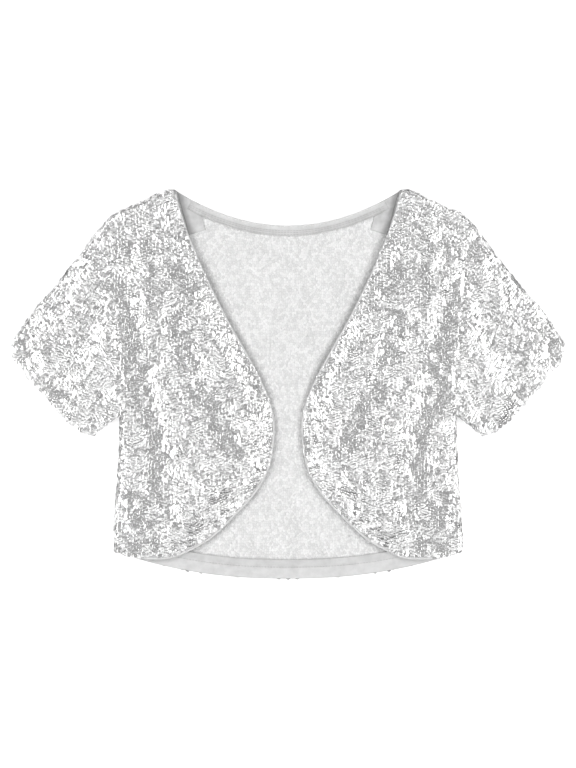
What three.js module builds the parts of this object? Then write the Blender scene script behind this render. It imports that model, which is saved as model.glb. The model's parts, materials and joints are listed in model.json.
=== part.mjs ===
// Cropped open-front jacket in sequined cloth with short sleeves, laid flat on its back.
// Sizes are millimetres. +X is to the right, +Y towards the neck and +Z up, off the table.
// Outlines are given for the right half, and the left half is its mirror.
import * as THREE from "three";
import { mergeVertices } from "three/addons/utils/BufferGeometryUtils.js";

// Cloth
const WALL = 1.4; // sequined cloth
const FACING_WALL = 1.0; // plain strip turned inside
const SEAM_GAP = 0.3; // between two pieces sewn together
const SEAM_TILT = 0.15; // the walls' ends tilt, so their middles stay this much further apart
const FOLD_RADIUS = 4.2; // middle of the wall round a soft outer fold
const FOLD_Z = WALL / 2 + FOLD_RADIUS; // height of the fold lines
const LOFT = 2.0; // how much higher the upper layer stands away from its folds
const LOFT_REACH = 60; // distance from a fold to the full loft
const CREASE_START = 14; // creases fade out this near to a fold

// Trim
const SEAM_FORWARD = 8; // the shoulder seam lies this far in front of the shoulder fold
const BINDING_RADIUS = 1.1; // rolled edge along the front opening
const BINDING_INSET = 2 * BINDING_RADIUS + 0.65; // from the opening to the edge of the front panel
const BINDING_TOP = 0.995; // share of the opening where the rolled edge ends at the neck
const EDGE_SOFT = 32; // the front rises from its edge height to the full height over this width
const NECK_FACING_DEPTH = 10.5;
const HEM_FACING_DEPTH = 20;
const NECK_FACING_END = 100; // half length of the neck facing along X
const HEM_FACING_END = 172; // half length of the hem facing along X

// Outline, as formulas
const NECK = { x: 119.5, y: 203.8 }; // where neckline, shoulder fold and opening meet
const NECK_DROP = 37.8; // centre of the back neckline below the neck point
const HEM_CORNER = { x: 181.8, y: -176 };
const HEM_DROP = 28.5; // centre of the back hem below its corners
const HEM_POWER = 2.25;
const CUFF_BOW = 9; // the cuff's middle stands out this far from the line between its ends
const CUFF_POWER = 5; // how square the cuff's corners are

// Outline, as curves through few points
const SIDE_TOP = { x: 175.4, y: -33.9 };
const UNDERARM = { x: 176.4, y: -32.4 };
const CUFF_TOP = { x: 290, y: 42 };
const CUFF_UNDER = { x: 205, y: -54.5 };
const SHOULDER_X = 186; // the armhole leaves the top fold here

const TOP_FOLD = spline([
  NECK,
  { x: 133, y: 199.8 },
  { x: 160, y: 187.2 },
  { x: 181, y: 178 },
  { x: 197, y: 162 },
  { x: 213, y: 140.5 },
  { x: 242, y: 103.4 },
  { x: 264, y: 78.6 },
  CUFF_TOP,
]);
const SIDE_FOLD = spline([
  HEM_CORNER,
  { x: 181.6, y: -155 },
  { x: 179.9, y: -124 },
  { x: 177.5, y: -100 },
  { x: 175.9, y: -60 },
  SIDE_TOP,
]);
const UNDERARM_FOLD = spline([UNDERARM, { x: 191, y: -43 }, CUFF_UNDER]);
const ARMHOLE = spline([
  UNDERARM,
  { x: 175.3, y: -7 },
  { x: 178.5, y: 46 },
  { x: 185, y: 109 },
  { x: 186.5, y: 150 },
  pointAtX(TOP_FOLD, SHOULDER_X),
]);
const FRONT_HEM = spline([{ x: 151, y: -183.5 }, { x: 167, y: -181 }, HEM_CORNER]);
const OPENING = spline([
  { x: 151, y: -183.5 },
  { x: 131, y: -184 },
  { x: 112.5, y: -179.8 },
  { x: 82.5, y: -163.5 },
  { x: 56, y: -139 },
  { x: 32, y: -112 },
  { x: 18.5, y: -84 },
  { x: 14, y: -50 },
  { x: 17, y: -25 },
  { x: 27.5, y: 2 },
  { x: 41.5, y: 29 },
  { x: 62, y: 65 },
  { x: 86, y: 113 },
  { x: 100.5, y: 147 },
  { x: 111.3, y: 177 },
  { x: 115.2, y: 190 },
  { x: 117.4, y: 201 },
]);

// Height of the front's edge off the table, by its share of the way from hem to neck
const EDGE_HEIGHTS = [
  { share: 0, z: 9.2 },
  { share: 0.06, z: 7.8 },
  { share: 0.14, z: 5.0 },
  { share: 0.26, z: 3.6 },
  { share: 0.45, z: 3.7 },
  { share: 0.6, z: 5.2 },
  { share: 0.85, z: 7.0 },
  { share: 1, z: 9.1 },
];

// Soft troughs and ridges of the upper layer: height at the middle, half width, and line
const CREASES = [
  { name: "armhole to hem, trough", height: -2.3, width: 11, line: [178, 112, 152, 14, 136, -70, 128, -132] },
  { name: "hem corner, trough", height: -1.6, width: 10, line: [128, -132, 141, -172] },
  { name: "bust to edge, trough", height: -2.1, width: 12, line: [118, 67, 92, 4, 60, -62] },
  { name: "upper chest, trough", height: -1.2, width: 10, line: [124, 130, 92, 98] },
  { name: "between the troughs, ridge", height: 1.8, width: 11, line: [146, 92, 123, -17, 92, -88, 78, -140] },
  { name: "side strip, ridge", height: 1.3, width: 8, line: [163, -60, 165, -150] },
  { name: "beside the edge, ridge", height: 1.0, width: 12, line: [76, 78, 44, -8, 42, -84] },
  { name: "below the shoulder, ridge", height: 1.2, width: 12, line: [150, 172, 146, 118] },
  { name: "sleeve cap, ridge", height: 1.6, width: 11, line: [204, 130, 232, 72, 262, 28] },
  { name: "sleeve under the cap, trough", height: -1.7, width: 10, line: [192, 108, 212, 44, 246, 4] },
  { name: "sleeve to underarm, ridge", height: 1.4, width: 9, line: [196, 36, 214, -8, 224, -32] },
  { name: "underarm drag, trough", height: -1.3, width: 8, line: [180, 10, 196, -20] },
];

// Points across a panel
const FRONT_COLUMNS = 15;
const FRONT_ROWS = 34;
const BACK_COLUMNS = 12; // over half the back
const BACK_ROWS = 17;
const BACK_NECK_COLUMN = 8; // the column that ends at the neck point
const SLEEVE_COLUMNS = 7;
const SLEEVE_RINGS = 13;
const BINDING_STEPS = 52;
const BINDING_SIDES = 6;
const FACING_STEPS = 30;
const ROLL_STEPS = 4; // points round a quarter of a fold

const sequined = material(0xd6d7d9, 0.34, 0.55);
const plain = material(0xdedede, 0.7, 0.0);
const rolled = material(0xe4e4e4, 0.5, 0.1);

function material(color, roughness, metalness) {
  return new THREE.MeshStandardMaterial({ color, roughness, metalness });
}

function spline(points) {
  const curve = new THREE.SplineCurve(points.map(({ x, y }) => new THREE.Vector2(x, y)));
  curve.arcLengthDivisions = 600;
  return curve;
}

// Share of a curve's length at which it reaches x, for a curve that runs towards +X
function shareAtX(curve, x) {
  let low = 0;
  let high = 1;
  while (high - low > 1e-7) {
    const middle = (low + high) / 2;
    if (curve.getPointAt(middle).x < x) low = middle;
    else high = middle;
  }
  return low;
}

function pointAtX(curve, x) {
  return curve.getPointAt(shareAtX(curve, x));
}

function smooth(value) {
  const t = THREE.MathUtils.clamp(value, 0, 1);
  return t * t * (3 - 2 * t);
}

// Nearest place on a line of points: its distance, and its share of the line's segments
function nearest(line, x, y) {
  let best = Infinity;
  let share = 0;
  for (let i = 0; i + 1 < line.length; i += 1) {
    const a = line[i];
    const b = line[i + 1];
    const dx = b.x - a.x;
    const dy = b.y - a.y;
    const along = ((x - a.x) * dx + (y - a.y) * dy) / (dx * dx + dy * dy);
    const t = THREE.MathUtils.clamp(along, 0, 1);
    const distance = Math.hypot(x - a.x - t * dx, y - a.y - t * dy);
    if (distance < best) {
      best = distance;
      share = (i + t) / (line.length - 1);
    }
  }
  return { distance: best, share };
}

// Sampled lines that the heights are measured from
const foldLines = [TOP_FOLD, SIDE_FOLD, UNDERARM_FOLD].map((curve) => curve.getSpacedPoints(160));
const openingLine = OPENING.getSpacedPoints(200);
const creaseLines = CREASES.map(({ line }) => {
  const points = [];
  for (let i = 0; i < line.length; i += 2) points.push(new THREE.Vector2(line[i], line[i + 1]));
  return points;
});

function foldDistance(x, y) {
  return Math.min(...foldLines.map((line) => nearest(line, x, y).distance));
}

// Quarter round from the fold line to the flat of a layer
function foldRise(distance) {
  const d = Math.min(distance, FOLD_RADIUS);
  return Math.max(SEAM_GAP / 2 + SEAM_TILT, Math.sqrt(d * (2 * FOLD_RADIUS - d)));
}

function edgeHeight(share) {
  let i = 1;
  while (i < EDGE_HEIGHTS.length - 1 && EDGE_HEIGHTS[i].share < share) i += 1;
  const a = EDGE_HEIGHTS[i - 1];
  const b = EDGE_HEIGHTS[i];
  return THREE.MathUtils.lerp(a.z, b.z, smooth((share - a.share) / (b.share - a.share)));
}

// Middle of the lower layer, which rests flat and turns up into the folds
function lowerPoint({ x, y }) {
  return new THREE.Vector3(x, y, FOLD_Z - foldRise(foldDistance(x, y)));
}

// Middle of the upper layer: turned over the folds, lofted, creased, and low at the front edge
function upperPoint({ x, y }) {
  const distance = foldDistance(x, y);
  const opening = nearest(openingLine, x, y);
  const rise = smooth(opening.distance / EDGE_SOFT);
  const atEdge = (edgeHeight(opening.share) - FOLD_Z) / FOLD_RADIUS;
  const height = THREE.MathUtils.lerp(atEdge, 1, rise) * foldRise(distance);
  let extra = LOFT * smooth(distance / LOFT_REACH);
  CREASES.forEach((crease, i) => {
    const away = nearest(creaseLines[i], x, y).distance / crease.width;
    extra += crease.height * Math.exp(-away * away) * smooth(distance / CREASE_START);
  });
  return new THREE.Vector3(x, y, FOLD_Z + height + rise * extra);
}

function foldPoint({ x, y }) {
  return new THREE.Vector3(x, y, FOLD_Z);
}

// Boundaries of a panel, as functions from 0 to 1
function stretch(curve, from, to) {
  return (t) => curve.getPointAt(THREE.MathUtils.lerp(from, to, t));
}

function joined(first, second, share) {
  return (t) => (t < share ? first(t / share) : second((t - share) / (1 - share)));
}

// A boundary moved sideways, to the left of its own direction
function offset(boundary, distance) {
  const step = 1e-3;
  return (t) => {
    const ahead = boundary(Math.min(1, t + step));
    const behind = boundary(Math.max(0, t - step));
    const way = ahead.sub(behind).normalize();
    return boundary(t).add(new THREE.Vector2(-way.y, way.x).multiplyScalar(distance));
  };
}

function shifted(boundary, dx) {
  return (t) => boundary(t).add(new THREE.Vector2(dx, 0));
}

// A boundary whose ends are drawn to two given points
function pinned(boundary, start, end) {
  const first = start.clone().sub(boundary(0));
  const last = end.clone().sub(boundary(1));
  return (t) => boundary(t).addScaledVector(first, 1 - t).addScaledVector(last, t);
}

// Point of a four-sided patch between its boundaries
function patch({ bottom, top, left, right }) {
  return (u, v) => {
    const point = new THREE.Vector2();
    point.addScaledVector(bottom(u), 1 - v).addScaledVector(top(u), v);
    point.addScaledVector(left(v), 1 - u).addScaledVector(right(v), u);
    point.addScaledVector(bottom(0), -(1 - u) * (1 - v)).addScaledVector(bottom(1), -u * (1 - v));
    point.addScaledVector(top(0), -(1 - u) * v).addScaledVector(top(1), -u * v);
    return point;
  };
}

// Distances from a fold line that step evenly round its quarter circle
function rollDistances() {
  const list = [];
  for (let i = 0; i <= ROLL_STEPS; i += 1) {
    list.push(FOLD_RADIUS * (1 - Math.cos((i / ROLL_STEPS) * (Math.PI / 2))));
  }
  return list;
}

// Places from 0 to 1 across a width, even but for a roll at the far end
function placesToRoll(count, width) {
  const roll = rollDistances().reverse().map((distance) => 1 - distance / width);
  const list = [];
  for (let i = 0; i < count; i += 1) list.push((i / count) * roll[0]);
  return list.concat(roll);
}

// Places from 0 to 1 with a roll at both ends
function placesBetweenRolls(count, width) {
  const roll = rollDistances().map((distance) => distance / width);
  const edge = roll[ROLL_STEPS];
  const list = [...roll];
  for (let i = 1; i < count; i += 1) list.push(THREE.MathUtils.lerp(edge, 1 - edge, i / count));
  return list.concat(roll.reverse().map((place) => 1 - place));
}

// Closed wall round a grid of middle points. A row holds null where the cloth has no point,
// and a loop joins each row's last point to its first.
function wall(grid, thickness, loop = false) {
  const rows = grid.length;
  const columns = grid[0].length;
  const wrap = (i) => (loop ? (i + columns) % columns : i);
  const at = (j, i) => (grid[j] ? grid[j][wrap(i)] ?? null : null);
  const across = new THREE.Vector3();
  const up = new THREE.Vector3();
  const positions = [];
  const index = grid.map((row) => row.map(() => -1));
  for (let j = 0; j < rows; j += 1) {
    for (let i = 0; i < columns; i += 1) {
      const point = at(j, i);
      if (point) {
        across.subVectors(at(j, i + 1) ?? point, at(j, i - 1) ?? point);
        up.subVectors(at(j + 1, i) ?? point, at(j - 1, i) ?? point);
        const normal = across.cross(up).setLength(thickness / 2);
        index[j][i] = positions.length / 6;
        positions.push(...point.clone().add(normal), ...point.clone().sub(normal));
      }
    }
  }
  const triangles = [];
  const outer = (j, i) => 2 * index[j][wrap(i)];
  const quad = (a, b, c, d) => triangles.push(a, b, c, a, c, d);
  const isCell = (j, i) => {
    if (j < 0 || j >= rows - 1) return false;
    if (!loop && (i < 0 || i >= columns - 1)) return false;
    return [at(j, i), at(j, i + 1), at(j + 1, i), at(j + 1, i + 1)].every(Boolean);
  };
  const rim = (a, b) => quad(a, a + 1, b + 1, b);
  for (let j = 0; j < rows - 1; j += 1) {
    for (let i = 0; i < (loop ? columns : columns - 1); i += 1) {
      if (isCell(j, i)) {
        const a = outer(j, i);
        const b = outer(j, i + 1);
        const c = outer(j + 1, i + 1);
        const d = outer(j + 1, i);
        quad(a, b, c, d);
        quad(a + 1, d + 1, c + 1, b + 1);
        if (!isCell(j - 1, i)) rim(a, b);
        if (!isCell(j, i + 1)) rim(b, c);
        if (!isCell(j + 1, i)) rim(c, d);
        if (!isCell(j, i - 1)) rim(d, a);
      }
    }
  }
  const geometry = new THREE.BufferGeometry();
  geometry.setAttribute("position", new THREE.Float32BufferAttribute(positions, 3));
  geometry.setIndex(triangles);
  return facingOut(geometry);
}

function flipped(geometry) {
  const list = Array.from(geometry.index.array);
  for (let i = 0; i < list.length; i += 3) [list[i + 1], list[i + 2]] = [list[i + 2], list[i + 1]];
  geometry.setIndex(list);
  return geometry;
}

// Turns a closed surface outwards where its volume comes out negative
function facingOut(geometry) {
  const position = geometry.attributes.position;
  const corner = [new THREE.Vector3(), new THREE.Vector3(), new THREE.Vector3()];
  let volume = 0;
  for (let i = 0; i < geometry.index.count; i += 3) {
    corner.forEach((v, k) => v.fromBufferAttribute(position, geometry.index.getX(i + k)));
    volume += corner[0].dot(corner[1].cross(corner[2]));
  }
  return volume < 0 ? flipped(geometry) : geometry;
}

function mirrored(geometry) {
  const copy = geometry.clone();
  copy.scale(-1, 1, 1);
  return facingOut(copy);
}

const shoulderShare = shareAtX(TOP_FOLD, SHOULDER_X);
const shoulderFold = stretch(TOP_FOLD, 0, shoulderShare);
const foldPlaces = placesToRoll(BACK_COLUMNS, HEM_CORNER.x);
const neckPlace = foldPlaces[BACK_NECK_COLUMN];

// Share of a curve that ends at the shoulder fold, where it is still a distance from that fold
function shareBelowFold(curve, distance) {
  let share = 1;
  while (share > 0) {
    const { x, y } = curve.getPointAt(share);
    if (nearest(foldLines[0], x, y).distance >= distance) return share;
    share -= 2e-4;
  }
  return share;
}

// Body's outer boundary: up the side fold, then up the armhole to a distance below the shoulder fold
function outerSide(distance) {
  const top = shareBelowFold(ARMHOLE, distance);
  const armhole = shifted(stretch(ARMHOLE, 0, top), -SEAM_GAP / 2);
  const side = SIDE_FOLD.getLength();
  return joined(stretch(SIDE_FOLD, 0, 1), armhole, side / (side + top * ARMHOLE.getLength()));
}

// Front panel's boundary beside the rolled edge, from hem to a distance below the shoulder fold
function innerEdge(distance) {
  return offset(stretch(OPENING, 0, shareBelowFold(OPENING, distance)), -BINDING_INSET);
}

// Place along the shoulder of a column of the back, from 0 at the neck to 1 at the armhole
function shoulderPlace(column) {
  return (foldPlaces[column] - neckPlace) / (1 - neckPlace);
}

// Shoulder seam at a distance in front of the fold, straight between the columns of the back
function shoulderSeam(distance) {
  const line = offset(shoulderFold, -distance);
  const pinnedLine = pinned(line, innerEdge(distance)(1), outerSide(distance)(1));
  return (t) => {
    let column = BACK_NECK_COLUMN + 1;
    while (column < foldPlaces.length - 1 && shoulderPlace(column) < t) column += 1;
    const from = shoulderPlace(column - 1);
    const to = shoulderPlace(column);
    return pinnedLine(from).lerp(pinnedLine(to), (t - from) / (to - from));
  };
}

function frontPanel() {
  const distance = SEAM_FORWARD + SEAM_GAP + SEAM_TILT;
  const left = innerEdge(distance);
  const right = outerSide(distance);
  const hem = pinned(stretch(FRONT_HEM, 0, 1), left(0), right(0));
  const plan = patch({ bottom: hem, top: shoulderSeam(distance), left, right });
  const grid = [];
  for (let j = 0; j <= FRONT_ROWS; j += 1) {
    const v = j / FRONT_ROWS;
    const width = plan(0, v).distanceTo(plan(1, v));
    grid.push(placesToRoll(FRONT_COLUMNS, width).map((u) => upperPoint(plan(u, v))));
  }
  return wall(grid, WALL);
}

function necklinePoint(x) {
  return new THREE.Vector2(x, NECK.y - NECK_DROP * (1 - (x / NECK.x) ** 2));
}

function hemPoint(x) {
  const rise = Math.abs(x / HEM_CORNER.x) ** HEM_POWER;
  return new THREE.Vector2(x, HEM_CORNER.y - HEM_DROP * (1 - rise));
}

// One half of the back: rows from hem to neckline and shoulder fold, then over the fold
function backHalf() {
  const right = outerSide(0);
  const fold = pinned(shoulderFold, shoulderFold(0), right(1));
  const seam = shoulderSeam(SEAM_FORWARD);
  const top = joined((t) => necklinePoint(t * NECK.x), fold, neckPlace);
  const centre = (t) => new THREE.Vector2(0, THREE.MathUtils.lerp(hemPoint(0).y, necklinePoint(0).y, t));
  const plan = patch({ bottom: (t) => hemPoint(t * HEM_CORNER.x), top, left: centre, right });
  const rows = placesToRoll(BACK_ROWS, NECK.y - HEM_CORNER.y);
  const grid = rows.map((v, j) => foldPlaces.map((u, i) => {
    const onFold = j === rows.length - 1 && i >= BACK_NECK_COLUMN;
    return onFold ? foldPoint(plan(u, v)) : lowerPoint(plan(u, v));
  }));
  rollDistances().slice(1).concat(SEAM_FORWARD).forEach((distance) => {
    grid.push(foldPlaces.map((_, i) => {
      if (i < BACK_NECK_COLUMN) return null;
      const t = shoulderPlace(i);
      return upperPoint(fold(t).lerp(seam(t), distance / SEAM_FORWARD));
    }));
  });
  return grid;
}

function backPanel() {
  const grid = backHalf().map((row) => {
    const other = row.slice(1).reverse().map((p) => p && new THREE.Vector3(-p.x, p.y, p.z));
    return other.concat(row);
  });
  return wall(grid, WALL);
}

function sleevePanel() {
  const armhole = shifted((t) => ARMHOLE.getPointAt(1 - t), SEAM_GAP / 2 + SEAM_TILT);
  const ends = new THREE.Vector2(CUFF_UNDER.x - CUFF_TOP.x, CUFF_UNDER.y - CUFF_TOP.y);
  const out = new THREE.Vector2(-ends.y, ends.x).normalize();
  const cuff = (t) => {
    const bow = CUFF_BOW * (1 - Math.abs(2 * t - 1) ** CUFF_POWER);
    return new THREE.Vector2(CUFF_TOP.x, CUFF_TOP.y).addScaledVector(ends, t).addScaledVector(out, bow);
  };
  const top = pinned(stretch(TOP_FOLD, shoulderShare, 1), armhole(0), cuff(0));
  const under = pinned(stretch(UNDERARM_FOLD, 0, 1), armhole(1), cuff(1));
  const plan = patch({ bottom: top, top: under, left: armhole, right: cuff });
  const grid = [];
  for (let j = 0; j <= SLEEVE_RINGS; j += 1) {
    const s = j / SLEEVE_RINGS;
    const width = plan(s, 0).distanceTo(plan(s, 1));
    const places = placesBetweenRolls(SLEEVE_COLUMNS, width);
    const between = places.slice(1, -1);
    grid.push([
      foldPoint(plan(s, 0)),
      ...between.map((v) => upperPoint(plan(s, v))),
      foldPoint(plan(s, 1)),
      ...between.reverse().map((v) => lowerPoint(plan(s, v))),
    ]);
  }
  return wall(grid, WALL, true);
}

// A strip laid on the back's inner face, between its edge line and a line further in
function facing(edge, depth, end) {
  const z = WALL + SEAM_GAP + FACING_WALL / 2;
  const inset = [SEAM_GAP, depth / 2, depth];
  const grid = inset.map((distance) => {
    const row = [];
    for (let i = 0; i <= FACING_STEPS; i += 1) {
      const x = THREE.MathUtils.lerp(-end, end, i / FACING_STEPS);
      const slope = (edge(x + 1).y - edge(x - 1).y) / 2;
      const inward = new THREE.Vector2(slope, -1).setLength(distance);
      const point = edge(x).add(inward.multiplyScalar(edge(0).y > 0 ? 1 : -1));
      row.push(new THREE.Vector3(point.x, point.y, z));
    }
    return row;
  });
  return wall(grid, FACING_WALL);
}

function frontBinding() {
  const edge = offset(stretch(OPENING, 0, 1), -BINDING_RADIUS);
  const points = [];
  for (let i = 0; i <= BINDING_STEPS; i += 1) {
    const share = (i / BINDING_STEPS) * BINDING_TOP;
    points.push(upperPoint(edge(share)));
  }
  const section = new THREE.Shape();
  for (let i = 0; i < BINDING_SIDES; i += 1) {
    const angle = (i / BINDING_SIDES) * 2 * Math.PI;
    const x = BINDING_RADIUS * Math.cos(angle);
    const y = BINDING_RADIUS * Math.sin(angle);
    if (i === 0) section.moveTo(x, y);
    else section.lineTo(x, y);
  }
  section.closePath();
  const tube = new THREE.ExtrudeGeometry(section, {
    steps: BINDING_STEPS,
    bevelEnabled: false,
    extrudePath: new THREE.CatmullRomCurve3(points),
  });
  tube.deleteAttribute("normal");
  tube.deleteAttribute("uv");
  return mergeVertices(tube, 1e-4);
}

const group = new THREE.Group();

function add(name, geometry, finish) {
  const mesh = new THREE.Mesh(geometry, finish);
  mesh.name = name;
  group.add(mesh);
}

// A piece of the right half and its mirror
function addPair(name, geometry, finish) {
  add(`${name}_right`, geometry, finish);
  add(`${name}_left`, mirrored(geometry), finish);
}

add("back", backPanel(), sequined);
addPair("front", frontPanel(), sequined);
addPair("sleeve", sleevePanel(), sequined);
addPair("front_binding", frontBinding(), rolled);
add("neck_facing", facing(necklinePoint, NECK_FACING_DEPTH, NECK_FACING_END), plain);
add("hem_facing", facing(hemPoint, HEM_FACING_DEPTH, HEM_FACING_END), plain);

export default group;
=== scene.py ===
"""Looks of an open-front bolero in silver sequined cloth, laid flat and seen from above.

Cloth is worked out in millimetres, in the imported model's frame, and made in metres. Outlines are
given for the right half, and the left half is its mirror.
"""

import json
import logging
import math
from collections.abc import Callable, Sequence
from dataclasses import dataclass
from enum import Enum

import bpy
import numpy as np
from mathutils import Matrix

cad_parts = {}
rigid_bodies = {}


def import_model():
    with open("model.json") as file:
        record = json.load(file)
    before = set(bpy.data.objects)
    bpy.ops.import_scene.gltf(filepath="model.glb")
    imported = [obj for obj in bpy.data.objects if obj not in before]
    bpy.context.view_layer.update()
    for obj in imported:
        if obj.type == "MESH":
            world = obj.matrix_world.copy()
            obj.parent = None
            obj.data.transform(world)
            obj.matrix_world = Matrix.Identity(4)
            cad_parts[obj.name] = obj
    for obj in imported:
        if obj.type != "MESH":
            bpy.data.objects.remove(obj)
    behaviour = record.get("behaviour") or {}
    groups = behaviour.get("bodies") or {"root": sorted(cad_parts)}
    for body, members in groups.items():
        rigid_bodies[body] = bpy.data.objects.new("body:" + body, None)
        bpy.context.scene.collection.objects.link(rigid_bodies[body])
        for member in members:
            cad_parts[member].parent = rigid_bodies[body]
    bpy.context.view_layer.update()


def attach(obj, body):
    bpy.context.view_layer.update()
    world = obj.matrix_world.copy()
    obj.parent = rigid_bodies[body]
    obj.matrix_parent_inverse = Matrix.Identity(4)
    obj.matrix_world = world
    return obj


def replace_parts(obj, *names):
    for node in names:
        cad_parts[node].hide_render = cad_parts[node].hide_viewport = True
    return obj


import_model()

LOG = logging.getLogger("bolero")
MM = 0.001
TINY = 1e-12
# Places that are measured at a time, and the share of a curve that its direction is read over
RUN = 3000
NUDGE = 1e-3
UP, DOWN = (0.0, 0.0, 1.0), (0.0, 0.0, -1.0)

Points = np.ndarray
Piece = bpy.types.Object
Socket = bpy.types.NodeSocket
Boundary = Callable[[np.ndarray], Points]
# Points, outward normals and strand directions of what is sewn on
Seeds = tuple[Points, Points, Points]


class Side(Enum):
    """Half of the garment, by the sign of X."""

    LEFT = -1
    RIGHT = 1

    @property
    def word(self) -> str:
        """Name of the half, as piece names end."""
        return self.name.lower()

    @property
    def flip(self) -> Points:
        """Factors that turn places of the right half into this half's."""
        return np.array([float(self.value), 1.0, 1.0])


class Slot(Enum):
    """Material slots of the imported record."""

    SEQUINS = "sequins"
    GROUND = "ground_mesh"
    FACING = "facing"
    BINDING = "binding"


def smooth(value: np.ndarray) -> np.ndarray:
    """Soft step from 0 to 1."""
    t = np.clip(value, 0.0, 1.0)
    return t * t * (3.0 - 2.0 * t)


def bell(distance: np.ndarray, width: float) -> np.ndarray:
    """Bell curve over a distance, 1 at its middle."""
    return np.exp(-((distance / width) ** 2))


def unit(vectors: Points) -> Points:
    """Vectors brought to a length of one."""
    return vectors / np.maximum(np.linalg.norm(vectors, axis=-1, keepdims=True), TINY)


def repeated(vector: Sequence[float], count: int) -> Points:
    """The same vector for each of many points."""
    return np.tile(vector, (count, 1))


class Spline:
    """Smooth plan curve through a few points, read by its share of length."""

    SAMPLES = 60

    def __init__(self, *points: tuple[float, float]) -> None:
        """Samples the curve.

        Args:
            points: Plan points in millimetres, in order.
        """
        p = np.asarray(points, float)
        spans = len(p) - 1
        t = np.linspace(0, spans, spans * self.SAMPLES + 1)
        i = np.minimum(t.astype(int), spans - 1)
        w = (t - i)[:, None]
        a, b, c, d = p[np.maximum(i - 1, 0)], p[i], p[i + 1], p[np.minimum(i + 2, spans)]
        start, end = (c - a) / 2, (d - b) / 2
        cubic = 2 * b - 2 * c + start + end
        square = -3 * b + 3 * c - 2 * start - end
        self.points = ((cubic * w + square) * w + start) * w + b
        steps = np.linalg.norm(np.diff(self.points, axis=0), axis=1)
        self.lengths = np.concatenate([[0.0], np.cumsum(steps)])
        self.length = float(self.lengths[-1])

    def __call__(self, share: np.ndarray) -> Points:
        """Points at shares of the length, from 0 to 1."""
        away = np.asarray(share, float) * self.length
        return np.stack([np.interp(away, self.lengths, self.points[:, k]) for k in (0, 1)], axis=-1)

    def stretch(self, start: float, end: float) -> Boundary:
        """The curve between two shares, as a boundary."""
        return lambda t: self(start + (end - start) * np.asarray(t, float))


def runs(xy: Points) -> list[Points]:
    """Places in runs that are short enough to measure at once."""
    return np.array_split(xy, max(1, len(xy) // RUN))


def nearest(line: Points, xy: Points) -> tuple[np.ndarray, np.ndarray]:
    """Distance to a line of points, and the share of its segments at the nearest place.

    Args:
        line: Points of the line.
        xy: Places to measure from, one a row.

    Returns:
        The distances and the shares.
    """
    a, way = line[:-1], np.diff(line, axis=0)
    size = np.maximum((way**2).sum(axis=1), TINY)
    distances, shares = [], []
    for part in runs(xy):
        rel = part[:, None, :] - a[None]
        t = np.clip((rel * way[None]).sum(axis=2) / size, 0, 1)
        away = np.linalg.norm(rel - t[..., None] * way[None], axis=2)
        best = away.argmin(axis=1)
        rows = np.arange(len(part))
        distances.append(away[rows, best])
        shares.append((best + t[rows, best]) / len(way))
    return np.concatenate(distances), np.concatenate(shares)


def distance_to(line: Points, xy: Points) -> np.ndarray:
    """Distance to a line of points."""
    return nearest(line, xy)[0]


def inside(polygon: Points, xy: Points) -> np.ndarray:
    """Which places lie inside a closed outline.

    Args:
        polygon: Corners of the outline.
        xy: Places to test, one a row.

    Returns:
        True for each place inside.
    """
    x1, y1 = polygon.T
    x2, y2 = np.roll(polygon, -1, axis=0).T
    found = []
    for part in runs(xy):
        x, y = part[:, :1], part[:, 1:]
        spans = (y1 > y) != (y2 > y)
        with np.errstate(divide="ignore", invalid="ignore"):
            cross = (x2 - x1) * (y - y1) / (y2 - y1) + x1
        found.append((spans & (x < cross)).sum(axis=1) % 2 == 1)
    return np.concatenate(found)


@dataclass(frozen=True)
class Cut:
    """Sizes of the garment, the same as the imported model's."""

    wall: float = 1.4
    facing_wall: float = 1.0
    seam: float = 0.12
    fold_radius: float = 4.2
    loft: float = 2.0
    loft_reach: float = 60.0
    crease_start: float = 14.0
    seam_forward: float = 8.0
    binding_radius: float = 1.1
    binding_inset: float = 2.35
    binding_top: float = 0.995
    edge_soft: float = 32.0
    neck: tuple[float, float] = (119.5, 203.8)
    neck_drop: float = 37.8
    hem_corner: tuple[float, float] = (181.8, -176.0)
    hem_drop: float = 28.5
    hem_power: float = 2.25
    cuff_bow: float = 9.0
    cuff_power: float = 5.0
    side_top: tuple[float, float] = (175.4, -33.9)
    underarm: tuple[float, float] = (176.4, -32.4)
    cuff_top: tuple[float, float] = (290.0, 42.0)
    cuff_under: tuple[float, float] = (205.0, -54.5)
    shoulder_x: float = 186.0

    @property
    def fold_z(self) -> float:
        """Height of the fold lines."""
        return self.wall / 2 + self.fold_radius


CUT = Cut()

TOP_FOLD = Spline(
    CUT.neck, (133, 199.8), (160, 187.2), (181, 178), (197, 162), (213, 140.5), (242, 103.4),
    (264, 78.6), CUT.cuff_top,
)
SIDE_FOLD = Spline(
    CUT.hem_corner, (181.6, -155), (179.9, -124), (177.5, -100), (175.9, -60), CUT.side_top,
)
UNDERARM_FOLD = Spline(CUT.underarm, (191, -43), CUT.cuff_under)
SHOULDER_SHARE = float(np.interp(CUT.shoulder_x, TOP_FOLD.points[:, 0], TOP_FOLD.lengths)) / TOP_FOLD.length
ARMHOLE = Spline(
    CUT.underarm, (175.3, -7), (178.5, 46), (185, 109), (186.5, 150), tuple(TOP_FOLD(SHOULDER_SHARE)),
)
FRONT_HEM = Spline((151, -183.5), (167, -181), CUT.hem_corner)
OPENING = Spline(
    (151, -183.5), (131, -184), (112.5, -179.8), (82.5, -163.5), (56, -139), (32, -112), (18.5, -84),
    (14, -50), (17, -25), (27.5, 2), (41.5, 29), (62, 65), (86, 113), (100.5, 147), (111.3, 177),
    (115.2, 190), (117.4, 201),
)
# The same lines with fewer points, to measure from
OPENING_LINE, ARMHOLE_LINE = OPENING.points[::4], ARMHOLE.points[::4]

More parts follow.
